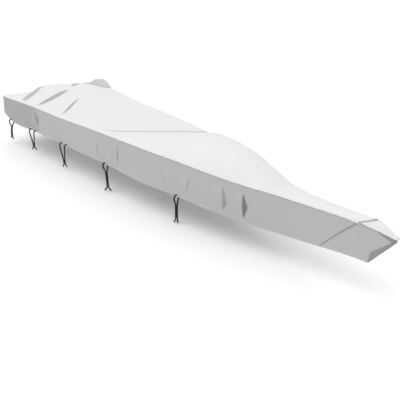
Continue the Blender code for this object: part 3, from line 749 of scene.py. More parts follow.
for side, word in ((-1, "starboard"), (1, "port")):
    for tie in TIES:
        name, x_a, x_b, fall, lean, twist, end_a, end_b, splay_a, splay_b = tie
        centre, row = sleeve_place(tie, side)
        ring = facing_out(sleeve_piece(f"sleeve_{word}_{name}_ring", centre, row))
        single = x_a == x_b
        for letter, x, sign, end, splay in (("a", x_a, -1, end_a, splay_a), ("b", x_b, 1, end_b, splay_b)):
            outside = letter == "a" or not single
            through_at = centre + row * sign * LEG_APART / 2
            route = leg_route(x, side, outside, single, through_at, row * sign, end, splay)
            obj, long, path = cord_piece(f"tie_{word}_{name}{letter}_cord", route, not single, 0.7 * sign + x)
            facing_out(obj)
        for letter, x in eyelet_stations(tie):
            facing_out(eyelet_piece(f"eyelet_{word}_{name}{letter}_ring", eyelet_frame(x, side)))


# ---------------------------------------------------------------- the cloth in detail
LAP = 0.0024          # how far a lapped piece stands off the one under it
THICK = 0.0018        # what shows of one cloth's thickness
LIP = 0.010           # the top's edge, turned down over the skirt


def gusset_edge(x):
    edge = through([r[0] for r in GUSSET], [r[1] for r in GUSSET], x)
    return edge + (GUSSET_END - edge) * ease(GUSSET[-1][0], 1.3, x)


def drawn_across(v, x):
    """The sheet's lines across the boat, drawn to the gusset's edge near the stern."""
    edge = gusset_edge(x)
    return np.where(v <= 0.80, -1 + (v + 1) * (edge + 1) / 1.80, edge + (v - 0.80) * (1 - edge) / 0.20)


def seam_station(v):
    return BOW_SEAM_X + BOW_SEAM_TOP * (1 - np.abs(v) ** 2)


def bow_seam(w):
    return BOW_SEAM_X - BOW_SEAM_AFT * w


def lines(*parts):
    """Joined runs of evenly spaced values: (from, to, step), the last end included."""
    out = []
    for a, b, step in parts:
        count = max(1, int(round((b - a) / step)))
        out += list(np.linspace(a, b, count, endpoint=False))
    return np.array(out + [parts[-1][1]])


def surface_normals(p):
    return unit(np.cross(np.gradient(p, axis=0), np.gradient(p, axis=1)))


def closed_sheet(name, outer, look, replaced, hint, thick=THICK, uv=None, painted_shade=None, painted_highlight_and_lightening=None, keep=None):
    """A closed cloth whose outer face is the grid of points; its thickness goes to the far side."""
    outer = np.asarray(outer, float)
    m, n = outer.shape[:2]
    normal = surface_normals(outer)
    sign = 1.0 if float((normal * np.asarray(hint, float)).sum(-1).mean()) > 0 else -1.0
    inner = outer - normal * sign * (np.ones((m, n)) * thick)[..., None]
    index = np.arange(m * n).reshape(m, n)
    quads = np.stack([index[:-1, :-1], index[1:, :-1], index[1:, 1:], index[:-1, 1:]], -1)
    quads = quads.reshape(-1, 4) if keep is None else quads[keep]
    if sign < 0:
        quads = quads[:, ::-1]
    edges = np.concatenate([quads[:, [k, (k + 1) % 4]] for k in range(4)])
    code, back = edges[:, 0] * m * n + edges[:, 1], edges[:, 1] * m * n + edges[:, 0]
    rim = edges[~np.isin(code, back)]
    rims = np.stack([rim[:, 1], rim[:, 0], rim[:, 0] + m * n, rim[:, 1] + m * n], -1)
    faces = np.concatenate([quads, quads[:, ::-1] + m * n, rims])
    used = np.unique(faces)
    renumber = np.zeros(2 * m * n, int)
    renumber[used] = np.arange(len(used))
    points = np.vstack([outer.reshape(-1, 3), inner.reshape(-1, 3)])[used]
    obj = new_piece(name, points, renumber[faces], look, replaced)
    zero = np.zeros(m * n)
    for word, values in (("painted_shade", painted_shade), ("painted_highlight_and_lightening", painted_highlight_and_lightening)):
        one = zero if values is None else np.clip(np.asarray(values, float), 0, 1).ravel()
        set_points(obj, word, np.concatenate([one, 0.25 * one])[used])
    if uv is None:
        uv = np.zeros((m, n, 2))
    layer = obj.data.uv_layers.new(name="cloth")
    both = np.vstack([uv.reshape(-1, 2), uv.reshape(-1, 2)])[used]
    loops = np.zeros(len(obj.data.loops), np.int32)
    obj.data.loops.foreach_get("vertex_index", loops)
    layer.data.foreach_set("uv", both[loops].astype(np.float32).ravel())
    area = 0.5 * np.linalg.norm(np.cross(outer[1:, 1:] - outer[:-1, :-1], outer[1:, :-1] - outer[:-1, 1:]), axis=-1)
    return obj, float((area if keep is None else area[keep]).sum())


def run_along(p, axis):
    """Distance along the grid's lines, for the cloth's own coordinates."""
    far = np.cumsum(np.linalg.norm(np.diff(p, axis=axis), axis=-1), axis=axis)
    pad = [(0, 0), (0, 0)]
    pad[axis] = (1, 0)
    return np.pad(far, pad)


# Folds of the top: both ends of the face in plan (station, y), the face's width, the crest's
# height, how far the cloth rises to it from behind, where it is widest, how dark its painted
# shade stays and how far its line bows forward in the middle.
FOLDS = (
    ((0.776, -0.610), (0.440, 0.030), 0.043, 0.026, 0.085, 0.42, 0.95, 0.064),
    ((0.474, -0.648), (0.094, -0.160), 0.084, 0.022, 0.060, 0.46, 0.86, 0.000),
    ((1.266, -0.525), (0.862, -0.065), 0.027, 0.012, 0.060, 0.45, 1.00, 0.014),
    ((0.300, 0.130), (0.020, 0.420), 0.042, 0.014, 0.050, 0.45, 1.00, -0.010),
    ((0.512, -0.662), (0.245, -0.290), 0.032, 0.000, 0.020, 0.52, 1.00, 0.006),
)


def rounded(u, bend):
    """From 0 to 1 as u does, straight between two corners that are rounded over bend on each side."""
    def corner(q):
        return np.where(q < -bend, 0.0, np.where(q > bend, q, (q + bend) ** 2 / (4 * bend)))
    return corner(u) - corner(u - 1)


def folds(x, y):
    """Height that the folds add, and the painted shade on their faces, over the plan."""
    high, dark = np.zeros_like(x), np.zeros_like(x)
    for (x0, y0), (x1, y1), wide, rise, back, middle, level, bow in FOLDS:
        along = np.array([x1 - x0, y1 - y0])
        long = np.linalg.norm(along)
        t = along / long
        across = np.array([-t[1], t[0]])
        if across[0] < 0:
            across = -across
        s = ((x - x0) * t[0] + (y - y0) * t[1]) / long
        d = (x - x0) * across[0] + (y - y0) * across[1]
        inside = np.clip(s, 0, 1)
        d = d - bow * 4 * inside * (1 - inside)
        power = math.log(0.5) / math.log(middle)
        envelope = np.sin(math.pi * inside**power) ** 0.85 * ((s > 0) & (s < 1))
        face = np.maximum(wide * envelope, 1e-4)
        crest = -face / 2
        behind = ease(-face / 2 - back, crest, d)
        bend = np.clip(0.010 / face, 0, 0.5)
        front = 1 - rounded((d - crest) / face, bend)
        high += rise * envelope * behind * front - 0.08 * rise * envelope * np.exp(-(((d - face / 2) / 0.014) ** 2))
        soft = 0.0075
        dark = np.maximum(dark, level * np.clip(envelope * 1.6, 0, 1) * ease(crest - soft, crest + soft, d) * (1 - ease(face / 2 - soft, face / 2 + soft + 0.002, d)))
    return high, dark


# Soft rumples of the top, a millimetre or two: centre, half length, half width, angle, height.
RUMPLES = (
    (0.95, 0.22, 0.34, 0.050, 152, 0.0040), (1.10, -0.10, 0.30, 0.040, 146, -0.0028), (1.55, 0.12, 0.44, 0.070, 160, 0.0036),
    (1.80, -0.20, 0.26, 0.050, 150, -0.0026), (2.15, 0.20, 0.30, 0.060, 28, 0.0030), (0.62, 0.36, 0.22, 0.036, 120, 0.0036),
    (0.55, 0.10, 0.20, 0.030, 132, -0.0024), (3.62, -0.13, 0.22, 0.030, 170, 0.0020), (3.35, 0.10, 0.34, 0.050, 5, 0.0030),
    (2.95, -0.24, 0.20, 0.030, 40, 0.0024), (3.05, 0.24, 0.24, 0.034, 140, 0.0026), (4.05, 0.02, 0.28, 0.024, 0, 0.0020),
    (1.32, 0.34, 0.20, 0.030, 20, 0.0028), (2.38, -0.30, 0.20, 0.030, 30, -0.0022), (0.16, 0.05, 0.16, 0.040, 80, 0.0034),
    (0.20, -0.45, 0.18, 0.024, 118, 0.0026), (1.75, 0.36, 0.30, 0.028, 176, 0.0024), (4.42, -0.02, 0.20, 0.016, 4, 0.0014),
)


def rumples(x, y):
    high = 0.0
    for cx, cy, long, wide, angle, rise in RUMPLES:
        a = math.radians(angle)
        s = ((x - cx) * math.cos(a) + (y - cy) * math.sin(a)) / long
        d = (-(x - cx) * math.sin(a) + (y - cy) * math.cos(a)) / wide
        high = high + rise * np.exp(-(s**2) - d**2)
    return high


def gunwale_rail(inset, half):
    """The rise of the cloth over the gunwale's rail, at that distance in from the edge."""
    reach = np.minimum(0.028, 0.34 * half)
    t = inset / reach
    size = reach / 0.028
    near = 1 - (1 - np.clip(t, 0, 1)) ** 2
    far = np.exp(-(((inset - reach) / (0.060 * size)) ** 2))
    return size * (0.0034 + 0.0046 * np.where(t < 1, near, far)) * np.where(t < 1, 1, 0.36 + 0.64 * far)


def gathers(x, inset, seed):
    """Small puckers where the top is sewn to the skirt."""
    wave = np.sin(x * 61 + seed) + 0.7 * np.sin(x * 97 + 2.1 * seed) + 0.8 * np.sin(x * 37 + 0.5 + seed)
    return 0.00055 * wave * np.exp(-inset / 0.055)


def top_detail(x, v):
    """The top's outer face with everything on it, its painted shade and its painted highlight."""
    half = station("half_beam", x)
    y = v * half
    inset = (1 - np.abs(v)) * half
    p = top_point(x, v)
    dying = np.clip(inset / 0.035, 0, 1)
    high, dark = folds(x, y)
    crease_x = through([r[0] for r in VALLEY], [r[1] for r in VALLEY], v) - 0.006
    d = x - crease_x
    ends = ease(-0.97, -0.70, v)
    groove = np.exp(-((d / 0.013) ** 2)) * ends
    high = high * (0.25 + 0.75 * dying) + rumples(x, y) * dying - 0.0060 * groove
    # Painted shade in the valley's groove.
    dark = np.maximum(dark * (0.2 + 0.8 * dying), 0.95 * np.exp(-((d / 0.015) ** 2)) * ends)
    # Painted shade along the forward hump's skyline.
    turn = through([2.70, 2.85, 3.00, 3.20, 3.50, 3.75, 3.95], [0.05, 0.24, 0.36, 0.44, 0.46, 0.53, 0.64], x)
    brow = ease(turn - 0.26, turn - 0.04, v) * (1 - ease(turn + 0.01, turn + 0.20, v)) * ease(2.68, 2.92, x) * (1 - ease(3.55, 3.95, x))
    dark = np.maximum(dark, 0.42 * brow)
    high = high + 0.032 * np.exp(-(((x - 0.125) / 0.075) ** 2) - (((inset - 0.105) / 0.060) ** 2)) * (y > 0)
    p[..., 2] += high + gunwale_rail(inset, half) + gathers(x, inset, 1.0 + np.sign(v))
    # Painted highlight along the gunwale's edge and on the flat face at the stern corner.
    bright = 0.16 * (1 - ease(0.014, 0.030, inset)) * (1 - dark)
    corner = (1 - ease(-0.05, 0.02, ((x - 0.25) * 0.69 + (y + 0.41) * 0.73))) * (v < 0.2) * ease(0, 0.03, x)
    bright = np.maximum(bright, 0.12 * corner)
    return p, dark, bright


def turned_edge(p, sides=(True, True), start=False, end=False, lip=LIP):
    """Adds the lip: at each open edge the cloth goes over a small round and down by lip."""
    profile = ((0.0014, 0.0006), (0.0026, 0.0022), (0.0030, min(0.0050, 0.5 * (lip + 0.0022))), (0.0031, lip))
    if sides[1]:
        extra = [p[:, -1] + np.array([0, out, -down]) for out, down in profile]
        p = np.concatenate([p, np.stack(extra, 1)], 1)
    if sides[0]:
        extra = [p[:, 0] + np.array([0, -out, -down]) for out, down in profile[::-1]]
        p = np.concatenate([np.stack(extra, 1), p], 1)
    k = len(profile)
    inner = slice(k if sides[0] else 0, p.shape[1] - (k if sides[1] else 0))

    def ends(row, sign):
        rows = []
        for out, down in profile:
            q = row + np.array([sign * out, 0, 0])
            lower = row[inner][:, 2].copy()
            q[inner, 2] = lower - down
            if sides[0]:
                q[:k, 2] = np.minimum(row[:k, 2], row[k, 2] - down)
            if sides[1]:
                q[-k:, 2] = np.minimum(row[-k:, 2], row[-k - 1, 2] - down)
            rows.append(q)
        return rows

    if start:
        p = np.concatenate([np.stack(ends(p[0], -1)[::-1], 0), p], 0)
    if end:
        p = np.concatenate([p, np.stack(ends(p[-1], 1), 0)], 0)
    return p


def grown(a, rows_before, rows_after, cols_before, cols_after):
    return np.pad(a, ((rows_before, rows_after), (cols_before, cols_after)), mode="edge")


# ---------------------------------------------------------------- top, gusset and bow cap
top_x = lines((0.0, 0.020, 0.010), (0.020, 0.500, 0.0085), (0.500, 1.340, 0.0088), (1.340, 2.020, 0.024), (2.020, 2.760, 0.0105), (2.760, BOW_SEAM_X, 0.0205))
edge_lines = lines((-1.0, -0.93, 0.010), (-0.93, 0.80, 0.0155), (0.80, 0.93, 0.0145), (0.93, 1.0, 0.010))
GUSSET_FROM = int(np.argmin(abs(top_x - GUSSET[0][0])))
GUSSET_TO = int(np.argmin(abs(top_x - GUSSET[-1][0])))
GUSSET_LINE = int(np.argmin(abs(edge_lines - 0.80)))


def top_lines():
    v = drawn_across(edge_lines[None, :], top_x[:, None])
    bend = ease(BOW_SEAM_X - 0.45, BOW_SEAM_X, top_x)[:, None]
    x = top_x[:, None] + (seam_station(v) - BOW_SEAM_X) * bend
    return x, v


xs, vs = top_lines()
face, dark, bright = top_detail(xs, vs)
face = turned_edge(face, start=True)
dark, bright = grown(dark, 4, 0, 4, 4), grown(bright, 4, 0, 4, 4)
cells = np.ones((face.shape[0] - 1, face.shape[1] - 1), bool)
cells[4 + GUSSET_FROM : 4 + GUSSET_TO, 4 + GUSSET_LINE :] = False
along, over = run_along(face, 0), run_along(face, 1)
across_both = np.minimum(over, over[:, -1:] - over)
top_piece, top_area = closed_sheet(
    "top_panel_cloth", face, top_look, ["top_panel"], (0, 0, 1),
    uv=np.stack([along, across_both], -1), painted_shade=dark, painted_highlight_and_lightening=bright, keep=cells,
)

# The gusset laps the top by 8 mm on its three sewn sides and lies flush further in.
gx = np.concatenate([[top_x[GUSSET_FROM] - 0.009, top_x[GUSSET_FROM] - 0.0085], top_x[GUSSET_FROM : GUSSET_TO + 1], [GUSSET[-1][0] + 0.0085, GUSSET[-1][0] + 0.009]])
gv = np.concatenate([[0.782, 0.783], edge_lines[GUSSET_LINE:]])
GX, GV = np.meshgrid(gx, gv, indexing="ij")
VV = drawn_across(np.maximum(GV, 0.80), GX)
half = station("half_beam", GX)
lapped = np.where(GV < 0.80, (0.80 - GV) / 0.017 * 0.008, 0.0)
VV = VV - lapped / half
face, dark, bright = top_detail(GX, VV)
seam_in = np.minimum.reduce([GX - GUSSET[0][0] + 0.0, GUSSET[-1][0] - GX, (VV - drawn_across(0.80 * np.ones_like(GX), GX)) * half])
raise_by = LAP * (1 - ease(0.004, 0.026, seam_in))
rim = (GX < GUSSET[0][0] - 0.0086) | (GX > GUSSET[-1][0] + 0.0086) | (GV < 0.7825)
face[..., 2] += np.where(rim, LAP * 0.75, raise_by)
pinch = 0.0007 * np.sin(GX * 210 + GV * 160) * (1 - ease(0.0, 0.03, seam_in)) * (1 - ease(-0.006, -0.009, -seam_in))
face[..., 2] += pinch
# Painted shade: the gusset darkens further in from the gunwale, along its seams and in the tuck near its aft end.
shade = 0.16 + 0.10 * ease(0.05, 0.16, (1 - VV) * half)
shade = np.maximum(shade, 0.45 * np.exp(-(((seam_in - 0.001) / 0.006) ** 2)))
tucked = np.exp(-(((GX - 0.040 - 0.30 * (VV - 0.72)) / 0.016) ** 2)) * ease(0.735, 0.78, VV) * (1 - ease(0.90, 0.99, VV))
shade = np.maximum(shade, 0.85 * tucked)
face = turned_edge(face, sides=(False, True))
shade = grown(shade, 0, 0, 0, 4)
along, over = run_along(face, 0), run_along(face, 1)
gusset_piece, gusset_area = closed_sheet(
    "quarter_gusset_cloth", face, gusset_look, ["quarter_gusset"], (0, 0, 1),
    uv=np.stack([along, over], -1), painted_shade=shade,
)

# The bow cap laps the top at the bow seam.
cap_s = lines((0.0, 0.06, 0.012), (0.06, 0.94, 0.022), (0.94, 1.0, 0.012))
cap_v = lines((-1.0, -0.8, 0.025), (-0.8, 0.8, 0.04), (0.8, 1.0, 0.025))
CS, CV = np.meshgrid(cap_s, cap_v, indexing="ij")
begin = seam_station(CV) - 0.010
CX = begin + (LENGTH - begin) * CS
face, dark, bright = top_detail(CX, CV)
from_seam = CX - seam_station(CV)
face[..., 2] += LAP * (1 - ease(0.004, 0.022, from_seam))
face[0, :, 2] -= 0.0005
face[..., 2] += 0.0005 * np.sin(CV * 9 + CS * 30) * ease(0, 0.05, CS)
# Painted shade along the lapped bow seam.
dark = np.maximum(dark * 0, 1.0 * np.exp(-(((from_seam + 0.002) / 0.0150) ** 2)))
face = turned_edge(face, end=True, lip=0.0030)
# its nose is folded down and sewn shut over the stem
last, closing = face[-1], []
for share, lower in ((0.35, 0.0002), (0.70, 0.0005), (1.0, 0.0009)):
    q = last.copy()
    q[:, 2] = last[:, 2] + (last[0, 2] - last[:, 2]) * share - lower
    closing.append(q)
face = np.concatenate([face, np.stack(closing, 0)], 0)
dark, bright = grown(dark, 0, 7, 4, 4), grown(bright, 0, 7, 4, 4)
# Painted shade on the folded-down nose.
dark[-4:] = 0.85
bright[-4:] = 0.0
along, over = run_along(face, 0), run_along(face, 1)
cap_piece, cap_area = closed_sheet(
    "bow_cap_cloth", face, cap_look, ["bow_cap"], (0, 0, 1),
    uv=np.stack([along, np.minimum(over, over[:, -1:] - over)], -1), painted_shade=dark, painted_highlight_and_lightening=bright,
)


# ---------------------------------------------------------------- skirts
# Pleats of the skirt, whose forward face carries painted shade: top, widest and lowest point of the face
# as (station, share of the fall), its width, how far it stands out, its soft back and how dark its painted shade is.
PLEATS = {
    -1: (
        ((0.752, 0.10), 0.48, (0.790, 0.84), 0.066, 0.015, 0.130, 0.52, 0.024),
        ((1.958, 0.26), 0.55, (1.990, 0.90), 0.011, 0.006, 0.070, 0.45, 0.003),
        ((2.302, 0.14), 0.52, (2.305, 0.84), 0.017, 0.008, 0.060, 0.50, 0.004),
        ((2.872, 0.30), 0.70, (2.978, 0.78), 0.010, 0.005, 0.050, 0.40, 0.003),
        ((3.247, 0.24), 0.50, (3.212, 0.82), 0.011, 0.006, 0.050, 0.42, 0.003),
        ((3.588, 0.15), 0.66, (3.630, 0.88), 0.040, 0.012, 0.090, 0.43, 0.0045),
        ((3.779, 0.18), 0.51, (3.838, 0.92), 0.042, 0.015, 0.090, 0.92, 0.003),
    ),
    1: (
        ((0.560, 0.20), 0.50, (0.600, 0.82), 0.040, 0.011, 0.120, 0.30, 0.012),
        ((1.105, 0.18), 0.60, (1.080, 0.74), 0.012, 0.006, 0.070, 0.35, 0.003),
        ((1.902, 0.20), 0.45, (1.925, 0.88), 0.014, 0.007, 0.060, 0.40, 0.004),
        ((2.345, 0.26), 0.60, (2.372, 0.84), 0.011, 0.005, 0.060, 0.35, 0.003),
        ((2.930, 0.22), 0.55, (2.952, 0.80), 0.018, 0.008, 0.060, 0.45, 0.004),
        ((3.402, 0.16), 0.60, (3.446, 0.86), 0.030, 0.011, 0.080, 0.50, 0.003),
        ((3.860, 0.20), 0.50, (3.898, 0.84), 0.026, 0.010, 0.070, 0.50, 0.003),
    ),
}


def pleats(x, w, side):
    out, dark = np.zeros_like(x), np.zeros_like(x)
    for (x0, w0), peak, (x1, w1), wide, stands, back, level, soft in PLEATS[side]:
        t = np.clip((w - w0) / (w1 - w0), 0, 1)
        inside = (w > w0) & (w < w1)
        up = np.clip(t / peak, 0, 1)
        down = np.clip((1 - t) / (1 - peak), 0, 1)
        shape = np.minimum(up, down) * inside
        round_shape = np.sin(np.clip(shape, 0, 1) * math.pi / 2)
        left = x0 + (x1 - x0) * t
        face = np.maximum(wide * shape, 1e-4)
        d = x - left
        behind = ease(-back, 0, d)
        front = 1 - np.clip(d / face, 0, 1)
        out += stands * round_shape * np.where(d < 0, behind, front)
        out -= 0.12 * stands * round_shape * np.exp(-(((d - face) / (0.5 * wide + 0.006)) ** 2))
        soft = max(soft, 0.0065 if x0 < 3.5 else 0.0)
        dark = np.maximum(dark, level * np.clip(shape * 3, 0, 1) * ease(-soft, soft, d) * (1 - ease(face - soft, face + soft, d)))
    return out, dark


def swags(x, w, side):
    """Slow waves of the hanging cloth, different on each side, and puckers along its two seams."""
    a = 0.0016 * np.sin(x * 7.3 + 1.1 * side) + 0.0012 * np.sin(x * 12.9 + 2.0 + side)
    b = 0.0007 * np.sin(x * 29 + 3 * w + side) + 0.0005 * np.sin(x * 47 - 4 * w)
    hem = 0.0004 * np.sin(x * 88 + side) * ease(0.80, 0.97, w)
    sewn = 0.0004 * np.sin(x * 103 + 2 * side) * (1 - ease(0.02, 0.16, w))
    return (a + b) * ease(0.03, 0.5, w) + hem + sewn


def flat_round_eyelets(p, side):
    """The cloth lies flat against each eyelet, on the plane that carries it."""
    for tie in TIES:
        for _, x in eyelet_stations(tie):
            centre, out, ahead, down = eyelet_frame(x, side)
            away = p - (centre + out * CLOTH / 2)
            off = away @ out
            near = np.linalg.norm(away - off[..., None] * out, axis=-1)
            share = 1 - ease(0.020, 0.060, near)
            p = p - (off * share)[..., None] * out
    return p


def hem_thickness(above):
    """Two more layers of cloth where the hem is folded up, which thin out over its edge."""
    return THICK + 0.0014 * (1 - ease(0.033, 0.038, above))


above_hem = np.array([0.0, 0.0012, 0.004, 0.009, 0.015, 0.021, 0.027, 0.0315, 0.034, 0.0365, 0.041, 0.050, 0.060])


def skirt_rows(drop):
    """For each station's drop, the shares of its fall from the gunwale to the hem."""
    low = 1 - above_hem[None, :] / drop[:, None]
    high = low[:, -1:] * np.linspace(0, 1, 30)[None, :-1] ** 0.94
    return np.concatenate([high, low[:, ::-1]], 1)


def hem_round(p, above, out_axis):
    """Rounds the hem's lowest edge and sinks its stitching."""
    inward = 0.0009 * np.exp(-above / 0.0012) + 0.00045 * np.exp(-(((above - 0.034) / 0.0016) ** 2))
    return p - inward[..., None] * out_axis


def side_skirt(side, word):
    x = lines((0.0045, 0.12, 0.0095), (0.12, 3.52, 0.0085), (3.52, 3.94, 0.0036), (3.94, 4.1, 0.0085), (4.1, BOW_SEAM_X, 0.016))
    shares = skirt_rows(station("drop", x))
    bend = ease(BOW_SEAM_X - 0.9, BOW_SEAM_X, x)[:, None]
    xx = x[:, None] + (bow_seam(shares) - BOW_SEAM_X) * bend
    above = (1 - shares) * station("drop", xx)
    p = skirt_point(xx, shares, side)
    out, dark = pleats(xx, shares, side)
    out = out + swags(xx, shares, side)
    p[..., 1] += side * out
    p = flat_round_eyelets(p, side)
    p = hem_round(p, above, np.array([0, side, 0.0]))
    # the aft edge goes round the corner, over the transom's cloth
    w = shares[0]
    hem_t = transom_point(np.full_like(w, side * 0.985), w)
    behind = hem_t[:, 0] - LAP
    first = p[0]
    turned = []
    for pull, inward in ((0.0, 0.018), (0.0, 0.010), (0.0, 0.0045), (0.0012, 0.0014)):
        q = first.copy()
        q[:, 0] = behind + pull
        q[:, 1] = first[:, 1] - side * inward
        turned.append(q)
    mid = first.copy()
    mid[:, 0] = (behind + first[:, 0]) / 2 + 0.001
    turned.append(mid)
    p = np.concatenate([np.stack(turned, 0), p], 0)
    dark = grown(dark, 5, 0, 0, 0)
    above = grown(above, 5, 0, 0, 0)
    # Painted shade on the starboard skirt aft of its dent, and in a thin band just under the top's lip.
    shade = 0.30 * (1 - ease(0.66, 0.86, grown(xx, 5, 0, 0, 0))) if side < 0 else 0.0
    wall = np.exp(-grown(shares, 5, 0, 0, 0) * station("drop", grown(xx, 5, 0, 0, 0)) / 0.006) * 0.30
    dark = np.maximum(np.maximum(dark, shade), wall)
    bright = 0.16 * (1 - ease(0.026, 0.036, above))
    along = run_along(p, 0)
    obj, area = closed_sheet(
        f"skirt_{word}_cloth", p, skirt_look, [f"skirt_{word}"], (0, side, 0),
        thick=hem_thickness(above), uv=np.stack([along, above], -1), painted_shade=dark, painted_highlight_and_lightening=bright,
    )
    cut_eyelets(obj, side)
    return obj


def cut_eyelets(obj, side):
    bm = bmesh.new()
    for tie in TIES:
        for _, x in eyelet_stations(tie):
            centre, out, ahead, down = eyelet_frame(x, side)
            made = bmesh.ops.create_cone(bm, cap_ends=True, segments=36, radius1=EYELET_BARREL + 0.0003, radius2=EYELET_BARREL + 0.0003, depth=0.03)
            turn = np.column_stack([ahead, np.cross(out, ahead), out])
            for vert in made["verts"]:
                vert.co = turn @ np.array(vert.co) + centre
    bmesh.ops.recalc_face_normals(bm, faces=bm.faces)
    mesh = bpy.data.meshes.new("cutter")
    bm.to_mesh(mesh)
    bm.free()
    cutter = bpy.data.objects.new("cutter", mesh)
    bpy.context.scene.collection.objects.link(cutter)
    holes = obj.modifiers.new("holes", "BOOLEAN")
    holes.operation = "DIFFERENCE"
    holes.solver = "EXACT"
    holes.object = cutter
    graph = bpy.context.evaluated_depsgraph_get()
    made = bpy.data.meshes.new_from_object(obj.evaluated_get(graph))
    obj.modifiers.clear()
    old = obj.data
    obj.data = made
    bpy.data.meshes.remove(old)
    bpy.data.objects.remove(cutter, do_unlink=True)
    bpy.data.meshes.remove(mesh)


def bow_skirt(side, word):
    s = lines((0.0, 0.06, 0.006), (0.06, 1.0, 0.022))
    x_ref = BOW_SEAM_X + (LENGTH - BOW_SEAM_X) * s
    shares = skirt_rows(station("drop", x_ref))
    begin = bow_seam(shares) - 0.010
    xx = begin + (LENGTH - 0.0006 - begin) * s[:, None]
    above = (1 - shares) * station("drop", xx)
    from_seam = xx - bow_seam(shares)
    p = skirt_point(xx, shares, side)
    out = LAP * (1 - ease(0.006, 0.030, from_seam)) + swags(xx, shares, side) * ease(0.0, 0.06, LENGTH - xx) * ease(0, 0.04, from_seam)
    # the stretch under the binding stays close to it
    out = out + 0.0012 * np.sin(xx * 33 + shares * 5) * ease(0.02, 0.09, LENGTH - xx) * ease(0.01, 0.05, from_seam) * ease(0, 0.4, shares)
    p[..., 1] += side * out
    p[0, :, 1] -= side * 0.0006
    p = hem_round(p, above, np.array([0, side, 0.0]))
    # Painted shade along the bow seam and in a thin band just under the top's lip.
    dark = 0.80 * np.exp(-(((from_seam + 0.006) / 0.0075) ** 2))
    wall = np.exp(-shares * station("drop", xx) / 0.006) * 0.30
    dark = np.maximum(dark, wall)
    bright = 0.16 * (1 - ease(0.026, 0.036, above))
    obj, area = closed_sheet(
        f"bow_skirt_{word}_cloth", p, skirt_look, [f"bow_skirt_{word}"], (0, side, 0),
        thick=hem_thickness(above) * np.where(from_seam > 0.02, 1, 0.9), uv=np.stack([run_along(p, 0), above], -1), painted_shade=dark, painted_highlight_and_lightening=bright,
    )
    return obj


def transom_skirt():
    v = lines((-1.0, 1.0, 0.0145))
    w_ref = skirt_rows(np.full_like(v, 0.25))
    p = transom_point(v[:, None] * np.ones_like(w_ref), w_ref)
    top_z, low_z = p[:, :1, 2], p[:, -1:, 2]
    above = p[..., 2] - low_z
    # the hem's lines at their own distance from the edge
    fall = (top_z - low_z)
    shares = np.concatenate([np.linspace(0, 1, 30)[None, :-1] ** 0.94 * (1 - above_hem[-1] / fall), 1 - above_hem[::-1][None, :] / fall], 1)
    p = transom_point(v[:, None] * np.ones_like(shares), shares)
    above = p[..., 2] - p[:, -1:, 2]
    y = p[..., 1]
    hang = np.zeros_like(y)
    for centre, wide, far in ((-0.47, 0.060, 0.0060), (-0.22, 0.085, 0.0075), (0.07, 0.070, 0.0060), (0.29, 0.055, 0.0050), (0.52, 0.060, 0.0060)):
        lean = centre + 0.03 * (shares - 0.4)
        hang += far * np.exp(-(((y - lean) / (wide * (0.45 + 0.55 * shares))) ** 2)) * shares**1.2
    hang += 0.0012 * np.sin(y * 23 + 1) * shares + 0.0006 * np.sin(y * 61)
    hang *= ease(0, 0.05, 0.69 - np.abs(y))
    p[..., 0] -= hang
    p = hem_round(p, above, np.array([-1.0, 0, 0]))
    # Painted shade in a thin band just under the top's lip.
    dark = np.exp(-shares * fall / 0.006) * 0.30
    bright = 0.16 * (1 - ease(0.026, 0.036, above))
    obj, area = closed_sheet(
        "skirt_transom_cloth", p, skirt_look, ["skirt_transom"], (-1, 0, 0),
        thick=hem_thickness(above), uv=np.stack([run_along(p, 0), above], -1), painted_shade=dark, painted_highlight_and_lightening=bright,
    )
    return obj


for side, word in ((-1, "starboard"), (1, "port")):
    side_skirt(side, word)
    bow_skirt(side, word)
transom_skirt()


# ---------------------------------------------------------------- stem binding and trims
def stem_binding():
    w = np.linspace(BINDING_WIDTH[0][0] - 0.024, BINDING_WIDTH[-1][0] + 0.002, 70)
    wide = through([r[0] for r in BINDING_WIDTH], [r[1] for r in BINDING_WIDTH], w)
    rows = []
    share = np.array([1.0, 0.985, 0.93, 0.8, 0.6, 0.4, 0.2, 0.06, 0.0])
    lift = np.array([0.0004, 0.0017, 0.0022, 0.0023, 0.0023, 0.0023, 0.0023, 0.0023, 0.0023])
    for k, (wk, width) in enumerate(zip(w, wide)):
        ripple = 0.0003 * math.sin(wk * 60)
        left = [skirt_point(LENGTH - width * s, wk, -1, out=o + 0.0006 + ripple * s) for s, o in zip(share, lift)]
        right = [skirt_point(LENGTH - width * s, wk, 1, out=o + 0.0006 - ripple * s) for s, o in zip(share, lift)]
        a, b = left[-1] + np.array([0.0008, 0, 0]), right[-1] + np.array([0.0008, 0, 0])
        nose = []
        for turn in (-60, -30, 0, 30, 60):
            t = math.radians(turn)
            middle = (a + b) / 2
            reach = np.linalg.norm(b - a) / 2
            stands = 0.0022 + (BINDING_NOSE[0] + (BINDING_NOSE[1] - BINDING_NOSE[0]) * wk) * float(ease(0.0, 0.11, wk))
            nose.append(middle + np.array([stands * math.cos(t), reach * math.sin(t) * 1.02, 0]))
        left[-1], right[-1] = a, b
        rows.append(left + nose + right[::-1])
    p = np.array(rows)
    scuff = np.exp(-(((w - 0.66) / 0.16) ** 2))[:, None] * np.ones(p.shape[1])
    edge = np.concatenate([share, np.zeros(5), share[::-1]])[None, :] * np.ones((70, 1))
    # Painted shade along its edges on the skirt.
    dark = 0.18 * (edge > 0.96) + 0.0
    obj, area = closed_sheet(
        "stem_binding_strip", p, binding_look, ["stem_binding"], (1, 0, 0),
        thick=0.0014, uv=np.stack([run_along(p, 0), np.minimum(run_along(p, 1), run_along(p, 1)[:, -1:] - run_along(p, 1))], -1), painted_shade=dark, painted_highlight_and_lightening=0.35 * scuff,
    )


